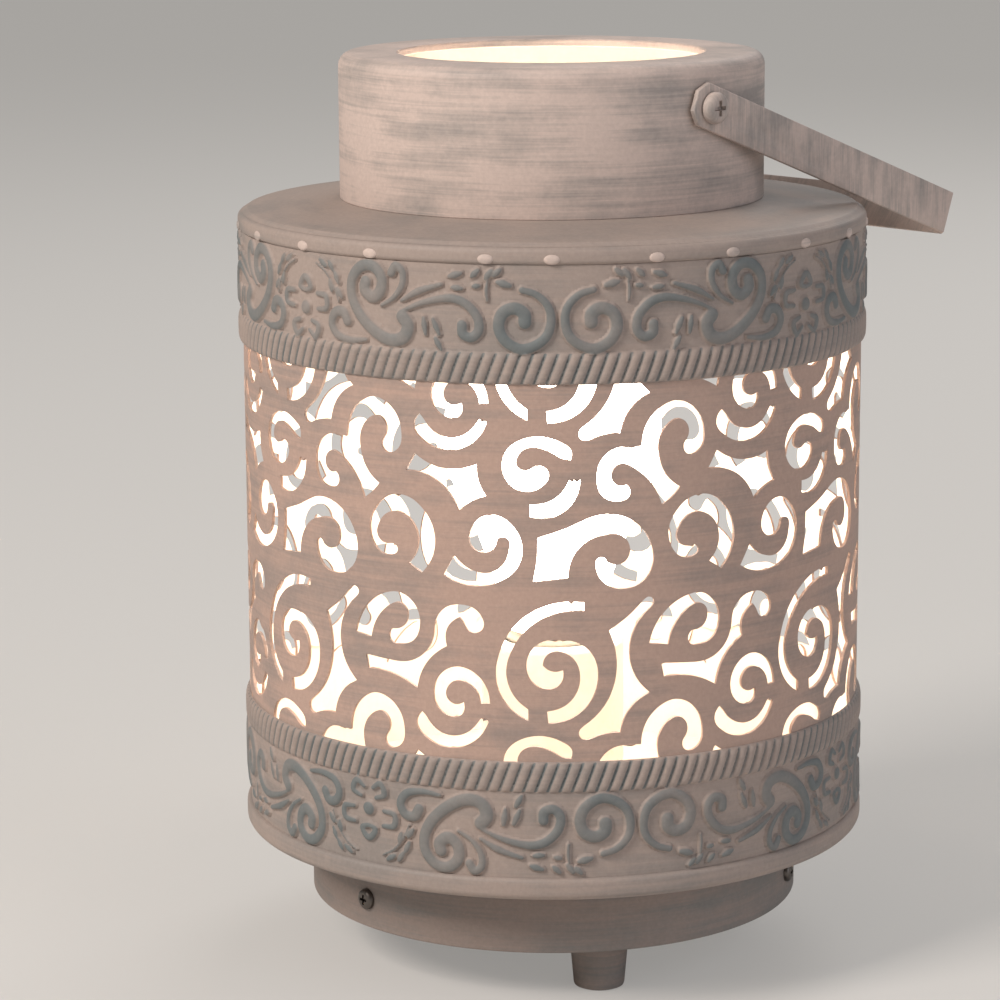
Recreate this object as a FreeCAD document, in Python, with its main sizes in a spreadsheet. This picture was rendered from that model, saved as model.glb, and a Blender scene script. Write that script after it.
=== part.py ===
import FreeCAD, Part

import math
import os

import Sketcher

# Lantern table lamp: a pressed steel drum with a scroll-cut sheet between two ornament bands,
# a collar with an open mouth, a strip bail handle on two pivot screws, and three peg feet.
# Millimetres.  +Z is up, the lamp's axis is x = y = 0 and the feet stand on z = 0.
# The front is -Y.  Angles round the axis are degrees from the front, positive towards +X.

SIZES = (
    ("Stack of heights", (
        ("foot_height", 14.5),
        ("drum_height", 20.0),
        ("roll_height", 5.9),
        ("lower_band_height", 30.8),
        ("window_height", 97.1),
        ("upper_band_height", 30.1),
        ("shoulder_rise", 1.9),
        ("neck_height", 38.7),
    )),
    ("Sheets and their radii", (
        ("grille_radius", 83.6),
        ("grille_sheet", 0.8),
        ("band_sheet", 0.6),
        ("roll_bulge", 1.4),
        ("roll_turn_in", 1.4),
        ("shoulder_sheet", 0.9),
        ("shoulder_hole", 50.0),
        ("floor_sheet", 0.9),
        ("neck_radius", 57.0),
        ("neck_sheet", 0.9),
        ("neck_round", 3.0),
        ("mouth_radius", 41.0),
        ("drum_radius", 67.0),
        ("drum_sheet", 1.0),
        ("plate_sheet", 1.2),
    )),
    ("Plate lugs and feet", (
        ("lug_width", 12.0),
        ("lug_height", 13.0),
        ("lug_inset", 0.3),
        ("foot_inset", 17.0),
        ("foot_top_radius", 8.0),
        ("foot_tip_radius", 6.7),
        ("foot_angle", 14.0),
        ("lug_angle", -48.0),
    )),
    ("Cord inlet", (
        ("inlet_level", 10.0),
        ("inlet_bore", 3.5),
        ("bush_radius", 5.0),
        ("bush_flange", 6.8),
        ("bush_flange_sheet", 1.8),
        ("bush_length", 5.0),
    )),
    ("Handle and its pivots", (
        ("pivot_level", 27.0),
        ("pivot_angle", 44.7),
        ("pivot_radius", 2.0),
        ("pivot_clearance", 0.08),
        ("pivot_head", 4.1),
        ("pivot_head_height", 2.6),
        ("screw_tail", 4.0),
        ("handle_width", 11.5),
        ("handle_sheet", 1.5),
        ("handle_overhang", 21.4),
        ("handle_tab", 6.4),
        ("handle_corner", 3.0),
        ("handle_bend", 2.5),
        ("handle_gap", 0.35),
        ("head_gap", 0.3),
        ("rest_gap", 0.3),
    )),
    ("Lampholder and bulb", (
        ("nipple_radius", 5.0),
        ("nipple_bore", 3.4),
        ("nipple_below", 8.0),
        ("nipple_above", 12.0),
        ("holder_foot_radius", 12.0),
        ("holder_foot_rise", 8.0),
        ("holder_radius", 19.5),
        ("holder_bore", 13.4),
        ("cap_height", 14.0),
        ("barrel_height", 34.6),
        ("insert_height", 9.0),
        ("contact_width", 7.0),
        ("contact_height", 1.3),
        ("bulb_gap", 0.3),
        ("bulb_tip_radius", 5.0),
        ("bulb_tip_height", 2.4),
        ("bulb_cap_radius", 13.1),
        ("bulb_cap_height", 24.6),
        ("bulb_neck_radius", 14.5),
        ("bulb_neck_rise", 2.0),
        ("bulb_radius", 30.0),
        ("bulb_glass_height", 83.0),
        ("bulb_shoulder_angle", -35.0),
    )),
    ("Scroll cut-outs", (
        ("tile_width", 79.4),
        ("tile_height", 77.3),
        ("seam_margin", 1.5),
        ("hidden_cut", 1.6),
        ("least_cut", 20.0),
        ("chord_turn", 100.0),
    )),
)

# The scroll tile, unrolled flat as seen from outside: x runs round the sheet, y up from the
# floor.  Each outline starts at a corner.  (x, y) is a straight stretch to that point and
# (x1, y1, x, y) is an arc through x1, y1 to x, y.
SCROLLS = {
    "great_scroll": (
        (-1.5, 49.9), (-1.2, 46.7), (8.6, 50.9, 11.6, 58.7), (8.9, 66.1, 1.5, 68.6),
        (-5.0, 66.5, -6.8, 61.0), (-5.3, 57.3, -1.5, 55.6), (2.0, 57.0, 2.6, 60.7),
        (-0.2, 60.2, -2.6, 61.9), (-1.6, 64.7, 2.0, 65.6), (5.9, 63.1, 7.0, 59.0),
        (4.8, 52.7, -1.5, 49.9)),
    "great_arc": (
        (8.0, 75.9), (8.0, 78.2), (-6.5, 75.1, -14.0, 64.0), (-13.7, 54.5, -6.3, 47.4),
        (-6.3, 50.4), (-11.4, 56.5, -11.3, 64.0), (-4.3, 73.1, 8.0, 75.9)),
    "tall_bone": (
        (14.3, 70.7), (16.4, 63.0, 14.6, 53.5), (11.6, 49.1, 7.2, 45.6), (6.7, 43.4, 9.0, 42.2),
        (13.0, 43.8, 17.2, 43.9), (19.4, 49.7, 25.0, 53.9), (19.5, 65.0, 25.9, 76.7),
        (25.4, 78.6, 23.6, 78.5), (18.8, 73.8, 14.3, 70.7)),
    "leaf_hook": (
        (30.0, 66.1), (24.8, 66.8), (29.6, 75.5, 37.5, 79.1), (43.6, 75.7, 44.6, 70.5),
        (42.5, 66.3, 38.5, 65.4), (35.4, 66.9, 36.5, 69.2), (39.4, 69.7, 41.2, 73.0),
        (40.3, 75.5, 37.5, 76.3), (32.6, 72.5, 30.0, 66.1)),
    "branch_bone": (
        (28.1, 61.4), (28.9, 57.7), (36.8, 57.3, 43.7, 54.2), (46.3, 61.3, 52.0, 66.0),
        (52.3, 71.5, 55.4, 73.8), (57.0, 70.9), (60.7, 70.1, 62.0, 72.7),
        (59.9, 76.1, 55.5, 77.1), (50.2, 74.9, 48.5, 69.3), (45.6, 63.4, 38.0, 60.7),
        (28.1, 61.4)),
    "small_scroll": (
        (60.9, 51.4), (63.3, 51.6), (61.0, 58.1, 55.5, 61.0), (50.0, 58.5, 48.1, 53.5),
        (49.4, 49.4, 52.8, 47.5), (56.3, 48.7, 56.4, 51.6), (53.2, 51.1, 51.5, 53.5),
        (52.6, 56.3, 55.3, 57.4), (59.2, 55.8, 60.9, 51.4)),
    "cradle": (
        (45.7, 47.8), (43.3, 45.6, 45.0, 42.3), (54.5, 39.4, 62.9, 46.7), (60.6, 47.2),
        (53.0, 42.5, 45.7, 47.8)),
    "forked_scroll": (
        (22.7, 117.8), (25.5, 125.7, 31.5, 129.1), (38.0, 125.8, 39.9, 119.8),
        (39.0, 116.1, 36.6, 114.8), (34.1, 116.0, 35.0, 118.9), (35.0, 122.9, 32.5, 124.5),
        (28.3, 121.5, 27.3, 115.5), (28.9, 110.5, 33.1, 106.7), (28.2, 102.4),
        (24.2, 109.7, 18.5, 113.6), (15.5, 112.5, 15.0, 109.5), (16.3, 108.0, 18.8, 108.1),
        (20.0, 106.1, 17.8, 103.9), (12.6, 105.1, 11.2, 110.0), (13.4, 116.1, 18.5, 117.9),
        (22.7, 117.8)),
    "star_bone": (
        (43.6, 115.3), (51.5, 111.9, 60.2, 113.4), (60.6, 109.1, 62.7, 105.3),
        (58.6, 103.9, 55.5, 101.3), (50.3, 108.4, 41.0, 110.8), (43.6, 115.3)),
    "tailed_scroll": (
        (4.6, 114.7), (4.6, 117.0, 3.2, 118.7), (-3.5, 120.9, -9.8, 119.0),
        (-12.9, 113.0, -10.5, 107.9), (-5.5, 106.6, -1.2, 109.4), (-1.5, 112.7, -4.8, 113.1),
        (-7.4, 112.1, -9.4, 114.1), (-7.5, 117.4, -3.3, 117.8), (0.2, 116.5, 2.2, 114.9),
        (4.6, 114.7)),
    "tick": (
        (-5.8, 100.2), (-5.8, 103.5), (0.8, 105.0, 4.3, 109.9), (7.1, 109.9),
        (4.5, 102.8, -5.8, 100.2)),
    "square_hook": (
        (-5.0, 83.5), (-3.8, 94.9), (3.4, 97.1, 9.5, 100.1), (20.6, 98.8, 25.8, 91.0),
        (24.0, 83.7, 17.5, 81.3), (12.3, 83.5, 10.8, 88.1), (12.0, 89.8, 13.8, 88.5),
        (17.3, 87.7, 19.8, 91.0), (18.6, 94.5, 14.5, 95.5), (7.0, 92.5, 3.9, 84.5),
        (-5.0, 83.5)),
    "round_hook": (
        (41.5, 86.8), (45.2, 84.5), (49.1, 92.0, 45.5, 101.5), (38.5, 104.4, 32.0, 100.5),
        (29.8, 95.0, 31.3, 90.4), (34.3, 88.2, 38.0, 88.9), (36.5, 91.5),
        (32.8, 92.8, 32.6, 95.9), (36.5, 99.9, 41.5, 98.9), (44.4, 94.0, 41.5, 86.8)),
    "turned_scroll": (
        (54.2, 89.9), (51.1, 84.5), (61.0, 82.0, 69.0, 85.2), (71.9, 92.0, 68.5, 98.8),
        (63.0, 100.6, 58.5, 96.5), (58.4, 92.5, 61.3, 90.7), (64.4, 91.7, 65.4, 94.4),
        (67.3, 94.9, 68.3, 92.0), (65.8, 86.7, 60.0, 85.8), (56.6, 87.3, 54.2, 89.9)),
}

FOOT_COUNT = 3
BULB_CHORDS = 5
HEAD_RIM = 0.7            # share of a screw head's height below its dome
BLADE_REACH = 0.25        # length of a scroll cutter, as a share of the sheet's radius
BLADE_INSIDE = 0.2        # how much of that lies inside the sheet, as the same share
TILE_ROWS = (-1, 0, 1)


class Length:
    """A size with the text that binds it to the sheet, so one sum gives both."""

    def __init__(self, value, text):
        self.value = float(value)
        self.text = text

    def __add__(self, other):
        other = as_length(other)
        return Length(self.value + other.value, "(" + self.text + " + " + other.text + ")")

    def __sub__(self, other):
        other = as_length(other)
        return Length(self.value - other.value, "(" + self.text + " - " + other.text + ")")

    def __rsub__(self, other):
        return as_length(other) - self

    def __mul__(self, factor):
        return Length(self.value * factor, "(" + self.text + " * " + str(factor) + ")")

    def __neg__(self):
        return Length(-self.value, "(0 - " + self.text + ")")


def as_length(value):
    if isinstance(value, Length):
        return value
    return Length(value, str(value))


def make_sheet(doc):
    """The driving dimensions, one aliased cell each."""
    sheet = doc.addObject("Spreadsheet::Sheet", "Sizes")
    row = 1
    for heading, cells in SIZES:
        sheet.set("A%d" % row, heading)
        row += 1
        for alias, value in cells:
            sheet.set("A%d" % row, alias.replace("_", " "))
            sheet.set("B%d" % row, str(value))
            sheet.setAlias("B%d" % row, alias)
            row += 1
    doc.recompute()
    return sheet


class Sheet:
    """Reads the sheet: size.name is a bound Length, value('name') a plain number."""

    def __init__(self, sheet):
        self.sheet = sheet

    def __getattr__(self, alias):
        return Length(self.sheet.get(alias), "Sizes." + alias)

    def value(self, alias):
        return float(self.sheet.get(alias))


doc = FreeCAD.newDocument("lantern_lamp")
size = Sheet(make_sheet(doc))

# Levels up the lamp, each standing on the one below.
drum_bottom = size.foot_height
handle_reach = size.grille_radius + size.handle_overhang
drum_top = drum_bottom + size.drum_height
band_bottom = drum_top + size.roll_height
window_bottom = band_bottom + size.lower_band_height
window_top = window_bottom + size.window_height
roll_bottom = window_top + size.upper_band_height
roll_top = roll_bottom + size.roll_height
neck_bottom = roll_top + size.shoulder_rise
neck_top = neck_bottom + size.neck_height
pivot_height = neck_bottom + size.pivot_level
holder_bottom = drum_top + size.floor_sheet
barrel_bottom = holder_bottom + size.cap_height
barrel_top = barrel_bottom + size.barrel_height
contact_bottom = barrel_bottom + size.insert_height
bulb_bottom = contact_bottom + size.contact_height + size.bulb_gap
bulb_cap_bottom = bulb_bottom + size.bulb_tip_height
glass_bottom = bulb_cap_bottom + size.bulb_cap_height

# Radii and offsets that several pieces share.
band_radius = size.grille_radius + size.band_sheet
roll_radius = size.grille_radius + size.roll_bulge
grille_inside = size.grille_radius - size.grille_sheet
drum_inside = size.drum_radius - size.drum_sheet
neck_inside = size.neck_radius - size.neck_sheet
leg_inside = size.neck_radius + size.handle_gap
leg_outside = leg_inside + size.handle_sheet
pivot_hole = size.pivot_radius + size.pivot_clearance

parts = []


def keep(part, label):
    """Name a finished sub-part; the name is its file's name."""
    part.Label = label
    parts.append(part)
    return part


def new_body(label):
    return keep(doc.addObject("PartDesign::Body", label), label)


def plane_of(body, role):
    for plane in body.Origin.OriginFeatures:
        if plane.Role == role:
            return plane
    raise ValueError("no plane " + role)


def pin_point(sketch, index, point):
    """Hold the start of line number index at point, each coordinate bound to the sheet."""
    for kind, axis, coordinate in (("DistanceX", -2, point[0]), ("DistanceY", -1, point[1])):
        if coordinate.value == 0:
            sketch.addConstraint(Sketcher.Constraint("PointOnObject", index, 1, axis))
            continue
        row = sketch.addConstraint(
            Sketcher.Constraint(kind, -1, 1, index, 1, coordinate.value))
        sketch.setExpression("Constraints[%d]" % row, coordinate.text)


def outline_sketch(body, role, points, name):
    """A closed outline of straight lines whose corners are bound to the sheet."""
    sketch = body.newObject("Sketcher::SketchObject", name)
    sketch.AttachmentSupport = [(plane_of(body, role), "")]
    sketch.MapMode = "FlatFace"
    points = [(as_length(x), as_length(y)) for x, y in points]
    count = len(points)
    for i, (x, y) in enumerate(points):
        end = points[(i + 1) % count]
        sketch.addGeometry(Part.LineSegment(
            FreeCAD.Vector(x.value, y.value, 0), FreeCAD.Vector(end[0].value, end[1].value, 0)))
    for i in range(count):
        sketch.addConstraint(Sketcher.Constraint("Coincident", i, 2, (i + 1) % count, 1))
    for i, point in enumerate(points):
        pin_point(sketch, i, point)
    return sketch


def turned(label, points):
    """A piece turned about the lamp's axis from its half section, (radius, height) points."""
    body = new_body(label)
    sketch = outline_sketch(body, "XZ_Plane", points, label + "_section")
    turn = body.newObject("PartDesign::Revolution", label + "_turn")
    turn.Profile = sketch
    turn.ReferenceAxis = (sketch, ["V_Axis"])
    turn.Angle = 360
    sketch.Visibility = False
    return body


def around(angle, radius=0.0, height=0.0):
    """A placement turned about the lamp's axis: its own -Y looks out at this angle."""
    turn = FreeCAD.Rotation(FreeCAD.Vector(0, 0, 1), angle)
    out = FreeCAD.Vector(0, -radius, as_length(height).value)
    return FreeCAD.Placement(turn.multVec(out), turn)


def place_at(body, angle, radius=0.0, height=0.0):
    body.Placement = around(angle, radius, height)
    return body


def outward(angle, radius, height):
    """A placement whose own +Z points straight out from the lamp's axis at this angle."""
    stand = FreeCAD.Rotation(FreeCAD.Vector(1, 0, 0), 90)
    foot = around(angle, radius, height)
    return FreeCAD.Placement(foot.Base, foot.Rotation.multiply(stand))


def hold(sketch, kind, ends, length):
    """One measured constraint, bound to the sheet."""
    row = sketch.addConstraint(Sketcher.Constraint(kind, *ends, length.value))
    sketch.setExpression("Constraints[%d]" % row, length.text)


def cut_through(body, name, sketch, direction):
    """Cut a sketch right through on one side of its plane, or both, and see that it bites."""
    doc.recompute()
    before = body.Shape.Volume
    pocket = body.newObject("PartDesign::Pocket", name)
    pocket.Profile = sketch
    pocket.Type = 1
    pocket.Reversed = direction == "front"
    if direction == "both":
        pocket.SideType = 2
    sketch.Visibility = False
    doc.recompute()
    if not body.Shape.Volume < before:
        raise ValueError(name + " cuts nothing")
    return pocket


def round_hole(body, name, height, radius, direction):
    """A round hole along the body's own Y, at a height on its Z axis."""
    sketch = body.newObject("Sketcher::SketchObject", name + "_circle")
    sketch.AttachmentSupport = [(plane_of(body, "XZ_Plane"), "")]
    sketch.MapMode = "FlatFace"
    height = as_length(height)
    sketch.addGeometry(Part.Circle(
        FreeCAD.Vector(0, height.value, 0), FreeCAD.Vector(0, 0, 1), radius.value))
    sketch.addConstraint(Sketcher.Constraint("PointOnObject", 0, 3, -2))
    if height.value:
        hold(sketch, "DistanceY", (-1, 1, 0, 3), height)
    else:
        sketch.addConstraint(Sketcher.Constraint("PointOnObject", 0, 3, -1))
    hold(sketch, "Radius", (0,), radius)
    return cut_through(body, name, sketch, direction)


def repeated(body, features, count):
    """Repeat features round the body's own Z axis."""
    pattern = body.newObject("PartDesign::PolarPattern", body.Name + "_repeat")
    pattern.Originals = features
    pattern.Axis = (axis_of(body, "Z_Axis"), [""])
    pattern.Angle = 360
    pattern.Occurrences = count
    body.Tip = pattern
    doc.recompute()
    return pattern


def axis_of(body, role):
    for line in body.Origin.OriginFeatures:
        if line.Role == role:
            return line
    raise ValueError("no axis " + role)


def group(label, shape, placements):
    """Identical pieces as separate solids in one sub-part."""
    solids = []
    for placement in placements:
        solid = shape.copy()
        solid.Placement = placement
        solids.append(solid)
    feature = doc.addObject("Part::Feature", label)
    feature.Shape = Part.makeCompound(solids)
    feature.Placement = FreeCAD.Placement()
    return keep(feature, label)


def spun(points):
    """A solid turned about its own Z axis from (radius, height) points."""
    corners = [FreeCAD.Vector(as_length(x).value, 0, as_length(y).value) for x, y in points]
    face = Part.Face(Part.makePolygon(corners + corners[:1]))
    return face.revolve(FreeCAD.Vector(0, 0, 0), FreeCAD.Vector(0, 0, 1), 360)


def screw(shank, length, head, head_height):
    """A pan-head screw: its head stands on z = 0 and its shank runs down -Z."""
    crown = head * HEAD_RIM
    return spun([(0, -length), (shank, -length), (shank, 0), (head, 0),
                 (crown, head_height), (0, head_height)])


def make_base_drum():
    """The smaller drum under the body: an open ring with the cord inlet at its back."""
    body = turned("base_drum", [
        (drum_inside, drum_bottom), (size.drum_radius, drum_bottom),
        (size.drum_radius, drum_top), (drum_inside, drum_top)])
    doc.recompute()
    round_hole(body, "inlet_hole", drum_bottom + size.inlet_level, size.bush_radius, "back")
    return place_at(body, size.value("lug_angle"))


def foot_circle():
    """The radius of the circle on which the feet stand, set in from the drum."""
    return size.value("drum_radius") - size.value("foot_inset")


def make_base_plate():
    """The bottom plate: a disc inside the drum with lugs bent up against the drum's side."""
    body = turned("base_plate", [
        (0, 0), (drum_inside, 0), (drum_inside, size.plate_sheet), (0, size.plate_sheet)])
    front = size.lug_inset - drum_inside
    half = size.lug_width * 0.5
    sketch = outline_sketch(body, "XY_Plane", [
        (-half, front), (half, front),
        (half, front + size.plate_sheet), (-half, front + size.plate_sheet)], "lug_outline")
    lug = body.newObject("PartDesign::Pad", "lug")
    lug.Profile = sketch
    lug.setExpression("Length", size.lug_height.text)
    sketch.Visibility = False
    repeated(body, [lug], FOOT_COUNT)
    return place_at(body, size.value("lug_angle"), 0, drum_bottom)


def make_feet():
    """Three tapered pegs under the plate."""
    tip = size.value("foot_tip_radius")
    shape = spun([(0, 0), (tip, 0), (size.foot_top_radius, size.foot_height),
                  (0, size.foot_height)])
    return group("feet", shape, [
        around(size.value("foot_angle") + i * 360 / FOOT_COUNT, foot_circle())
        for i in range(FOOT_COUNT)])


def make_cord_bush():
    """The bush that lines the cord inlet at the back of the drum."""
    body = turned("cord_bush", [
        (size.inlet_bore, -size.bush_length), (size.bush_radius, -size.bush_length),
        (size.bush_radius, 0), (size.bush_flange, 0),
        (size.bush_flange, size.bush_flange_sheet), (size.inlet_bore, size.bush_flange_sheet)])
    level = (drum_bottom + size.inlet_level).value
    body.Placement = outward(size.value("lug_angle") + 180, size.value("drum_radius"),
                             level)
    return body


def make_body_floor():
    """The floor of the body: a disc rolled up over the lower edge of the sheets."""
    top = drum_top + size.floor_sheet
    return turned("body_floor", [
        (size.nipple_radius, drum_top), (roll_radius - size.roll_bulge, drum_top),
        (roll_radius, drum_top + size.roll_bulge),
        (roll_radius, band_bottom - size.roll_turn_in),
        (size.grille_radius, band_bottom), (size.grille_radius, top),
        (size.nipple_radius, top)])


def make_band(label, low, high):
    """A plain ring of sheet round the body; its raised ornament is surface relief."""
    return turned(label, [
        (size.grille_radius, low), (band_radius, low), (band_radius, high),
        (size.grille_radius, high)])


def make_shoulder_cover():
    """The top of the body: rolled down over the sheets, rising gently to the collar."""
    under = neck_bottom - size.shoulder_sheet
    return turned("shoulder_cover", [
        (size.shoulder_hole, under), (size.grille_radius, roll_top - size.shoulder_sheet),
        (size.grille_radius, roll_bottom), (roll_radius, roll_bottom + size.roll_bulge),
        (roll_radius, roll_top - size.roll_turn_in),
        (roll_radius - size.roll_turn_in, roll_top), (size.shoulder_hole, neck_bottom)])


def make_neck_collar():
    """The collar: an upright ring with a rounded top edge and a flat rim round the mouth."""
    return turned_with_pivot_holes("neck_collar", [
        (neck_inside, neck_bottom), (size.neck_radius, neck_bottom),
        (size.neck_radius, neck_top - size.neck_round),
        (size.neck_radius - size.neck_round, neck_top),
        (size.mouth_radius, neck_top), (size.mouth_radius, neck_top - size.neck_sheet),
        (neck_inside - size.neck_round, neck_top - size.neck_sheet),
        (neck_inside, neck_top - size.neck_round - size.neck_sheet)])


def turned_with_pivot_holes(label, points):
    body = turned(label, points)
    doc.recompute()
    round_hole(body, label + "_pivots", pivot_height, size.pivot_radius, "both")
    return place_at(body, size.value("pivot_angle"))


def make_pivot_screws():
    """The two screws that the handle turns on, fixed through the collar."""
    length = leg_outside + size.head_gap - neck_inside + size.screw_tail
    shape = screw(size.value("pivot_radius"), length.value, size.value("pivot_head"),
                  size.value("pivot_head_height"))
    return group("pivot_screws", shape, [
        outward(angle, (leg_outside + size.head_gap).value, pivot_height.value)
        for angle in pivot_angles()])


def pivot_angles():
    first = size.value("pivot_angle")
    return (first, first + 180)


def rest_slope():
    """How far below level the handle lies when its legs come down to the rolled rim."""
    corner = (roll_radius - size.roll_turn_in).value
    run = math.sqrt(corner ** 2 - leg_inside.value ** 2)
    drop = (pivot_height - roll_top).value
    clear = size.value("handle_width") / 2 + size.value("rest_gap")
    return math.degrees(math.atan2(drop, run) - math.asin(clear / math.hypot(run, drop)))


def make_handle():
    """The bail: one strip bent to a U, with clipped ends that turn on the pivot screws."""
    body = new_body("handle")
    bend = size.handle_bend
    end = handle_reach
    inner_end = end - size.handle_sheet
    tail = -size.handle_tab
    side = [
        (tail, leg_outside), (end - bend, leg_outside), (end, leg_outside - bend)]
    inside = [
        (inner_end, leg_inside - bend + size.handle_sheet),
        (end - bend, leg_inside), (tail, leg_inside)]
    outline = side + [(x, -y) for x, y in reversed(side)]
    outline += [(x, -y) for x, y in reversed(inside)] + inside
    sketch = outline_sketch(body, "XY_Plane", outline, "strip_outline")
    strip = body.newObject("PartDesign::Pad", "strip")
    strip.Profile = sketch
    strip.SideType = 2
    strip.setExpression("Length", size.handle_width.text)
    sketch.Visibility = False
    doc.recompute()
    half = size.handle_width * 0.5
    inset = size.handle_corner
    beyond = tail - inset
    for name, sign in (("upper_corner", 1), ("lower_corner", -1)):
        corner = [
            (tail + inset, half * sign), (beyond, half * sign),
            (beyond, (half - inset * 2) * sign)]
        clip = outline_sketch(body, "XZ_Plane", corner, name + "_outline")
        cut_through(body, name, clip, "both")
    round_hole(body, "pivot_eye", 0, pivot_hole, "both")
    tilt = FreeCAD.Rotation(FreeCAD.Vector(0, 1, 0), rest_slope())
    stand = around(size.value("pivot_angle"), 0, pivot_height)
    body.Placement = FreeCAD.Placement(stand.Base, stand.Rotation.multiply(tilt))
    return body


def make_threaded_nipple():
    """The hollow threaded pipe that carries the lampholder and lets the wires through."""
    low = drum_top - size.nipple_below
    high = drum_top + size.nipple_above
    return turned("threaded_nipple", [
        (size.nipple_bore, low), (size.nipple_radius, low), (size.nipple_radius, high),
        (size.nipple_bore, high)])


def make_holder_cap():
    """The lower half of the lampholder, screwed on the nipple."""
    return turned("holder_cap", [
        (size.nipple_radius, holder_bottom), (size.holder_foot_radius, holder_bottom),
        (size.holder_radius, holder_bottom + size.holder_foot_rise),
        (size.holder_radius, barrel_bottom), (size.nipple_radius, barrel_bottom)])


def make_holder_barrel():
    """The upper half of the lampholder, with the socket that takes the bulb's cap."""
    return turned("holder_barrel", [
        (size.holder_bore, barrel_bottom), (size.holder_radius, barrel_bottom),
        (size.holder_radius, barrel_top), (size.holder_bore, barrel_top)])


def make_holder_insert():
    """The insulating block at the bottom of the socket."""
    return turned("holder_insert", [
        (0, barrel_bottom), (size.holder_bore, barrel_bottom),
        (size.holder_bore, contact_bottom), (0, contact_bottom)])


def make_centre_contact():
    """The strip on the insert that the bulb's tip presses on."""
    body = new_body("centre_contact")
    half = size.contact_width * 0.5
    sketch = outline_sketch(body, "XY_Plane", [
        (-half, -half), (half, -half), (half, half), (-half, half)], "contact_outline")
    pad = body.newObject("PartDesign::Pad", "contact")
    pad.Profile = sketch
    pad.setExpression("Length", size.contact_height.text)
    sketch.Visibility = False
    return place_at(body, 0, 0, contact_bottom)


def make_bulb_contact():
    """The contact at the bulb's foot."""
    return turned("bulb_contact", [
        (0, bulb_bottom), (size.bulb_tip_radius * 0.5, bulb_bottom),
        (size.bulb_tip_radius, bulb_cap_bottom), (0, bulb_cap_bottom)])


def make_bulb_cap():
    """The bulb's metal screw cap."""
    return turned("bulb_cap", [
        (0, bulb_cap_bottom), (size.bulb_cap_radius, bulb_cap_bottom),
        (size.bulb_cap_radius, glass_bottom), (0, glass_bottom)])


def make_bulb_glass():
    """The pear-shaped glass: a ball on a tapering neck, sealed and frosted."""
    centre = glass_bottom + size.bulb_glass_height - size.bulb_radius
    start = size.value("bulb_shoulder_angle")
    step = (90 - start) / BULB_CHORDS
    points = [(0, glass_bottom), (size.bulb_cap_radius, glass_bottom),
              (size.bulb_neck_radius, glass_bottom + size.bulb_neck_rise)]
    for i in range(BULB_CHORDS):
        angle = math.radians(start + i * step)
        points.append((size.bulb_radius * round(math.cos(angle), 5),
                       centre + size.bulb_radius * round(math.sin(angle), 5)))
    points.append((0, centre + size.bulb_radius))
    return turned("bulb_glass", points)


def arc_chords(start, middle, end, turn):
    """Points after start along the arc through middle to end, one chord per turn of angle."""
    ax, ay = start
    bx, by = middle
    cx, cy = end
    cross = 2 * (ax * (by - cy) + bx * (cy - ay) + cx * (ay - by))
    if abs(cross) < 1e-6:
        return [end]
    aa, bb, cc = ax * ax + ay * ay, bx * bx + by * by, cx * cx + cy * cy
    ox = (aa * (by - cy) + bb * (cy - ay) + cc * (ay - by)) / cross
    oy = (aa * (cx - bx) + bb * (ax - cx) + cc * (bx - ax)) / cross
    first = math.atan2(ay - oy, ax - ox)
    sweep = math.atan2(cy - oy, cx - ox) - first
    if cross > 0:
        sweep %= 2 * math.pi
    else:
        sweep = -((-sweep) % (2 * math.pi))
    radius = math.hypot(ax - ox, ay - oy)
    count = max(1, math.ceil(abs(sweep) / turn - 1e-6))
    points = []
    for i in range(1, count):
        angle = first + sweep * i / count
        points.append((ox + radius * math.cos(angle), oy + radius * math.sin(angle)))
    return points + [end]


def scroll_outline(steps):
    """An outline of the scroll table as the corners of a polygon."""
    turn = math.radians(size.value("chord_turn"))
    points = [steps[0]]
    for step in steps[1:]:
        if len(step) == 2:
            points.append(step)
        else:
            points += arc_chords(points[-1], step[:2], step[2:], turn)
    if math.dist(points[0], points[-1]) < 1e-6:
        points.pop()
    return points


def clipped(face, low, high):
    """What a flat scroll face keeps between the hidden edges of the two bands."""
    box = face.BoundBox
    width = box.XLength + 2
    strip = Part.makePlane(width, high - low, FreeCAD.Vector(box.XMin - 1, low, 0))
    if box.YMin >= low and box.YMax <= high:
        return [face]
    return face.common(strip).Faces


def scroll_cutters(low, high):
    """Blades that cut the scroll pattern, repeated round the sheet and up it."""
    radius = size.value("grille_radius")
    depth = size.value("grille_sheet")
    limit = math.pi * radius - size.value("seam_margin")
    tile_width, tile_height = size.value("tile_width"), size.value("tile_height")
    tiles = math.ceil(limit / tile_width) + 1
    upright = FreeCAD.Rotation(FreeCAD.Vector(1, 0, 0), 90)
    blades = []
    for steps in SCROLLS.values():
        corners = scroll_outline(steps)
        middle = sum(x for x, y in corners) / len(corners)
        for row in TILE_ROWS:
            flat = []
            for x, y in corners:
                bow = radius * math.sin((x - middle) / radius)
                flat.append(FreeCAD.Vector(bow, y + row * tile_height, 0))
            face = Part.Face(Part.makePolygon(flat + flat[:1]))
            if face.BoundBox.YMax <= low or face.BoundBox.YMin >= high:
                continue
            for piece in clipped(face, low, high):
                if piece.Area < size.value("least_cut"):
                    continue
                blade = piece.extrude(FreeCAD.Vector(0, 0, radius * BLADE_REACH))
                blade.translate(FreeCAD.Vector(0, 0, radius - depth - radius * BLADE_INSIDE))
                blade.Placement = FreeCAD.Placement(
                    FreeCAD.Vector(0, 0, 0), upright).multiply(blade.Placement)
                for tile in range(-tiles, tiles + 1):
                    shift = tile * tile_width
                    if max(abs(x + shift) for x, y in corners) > limit:
                        continue
                    turn = math.degrees((middle + shift) / radius)
                    copy = blade.copy()
                    copy.Placement = around(turn).multiply(copy.Placement)
                    blades.append(copy)
    return blades


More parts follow.
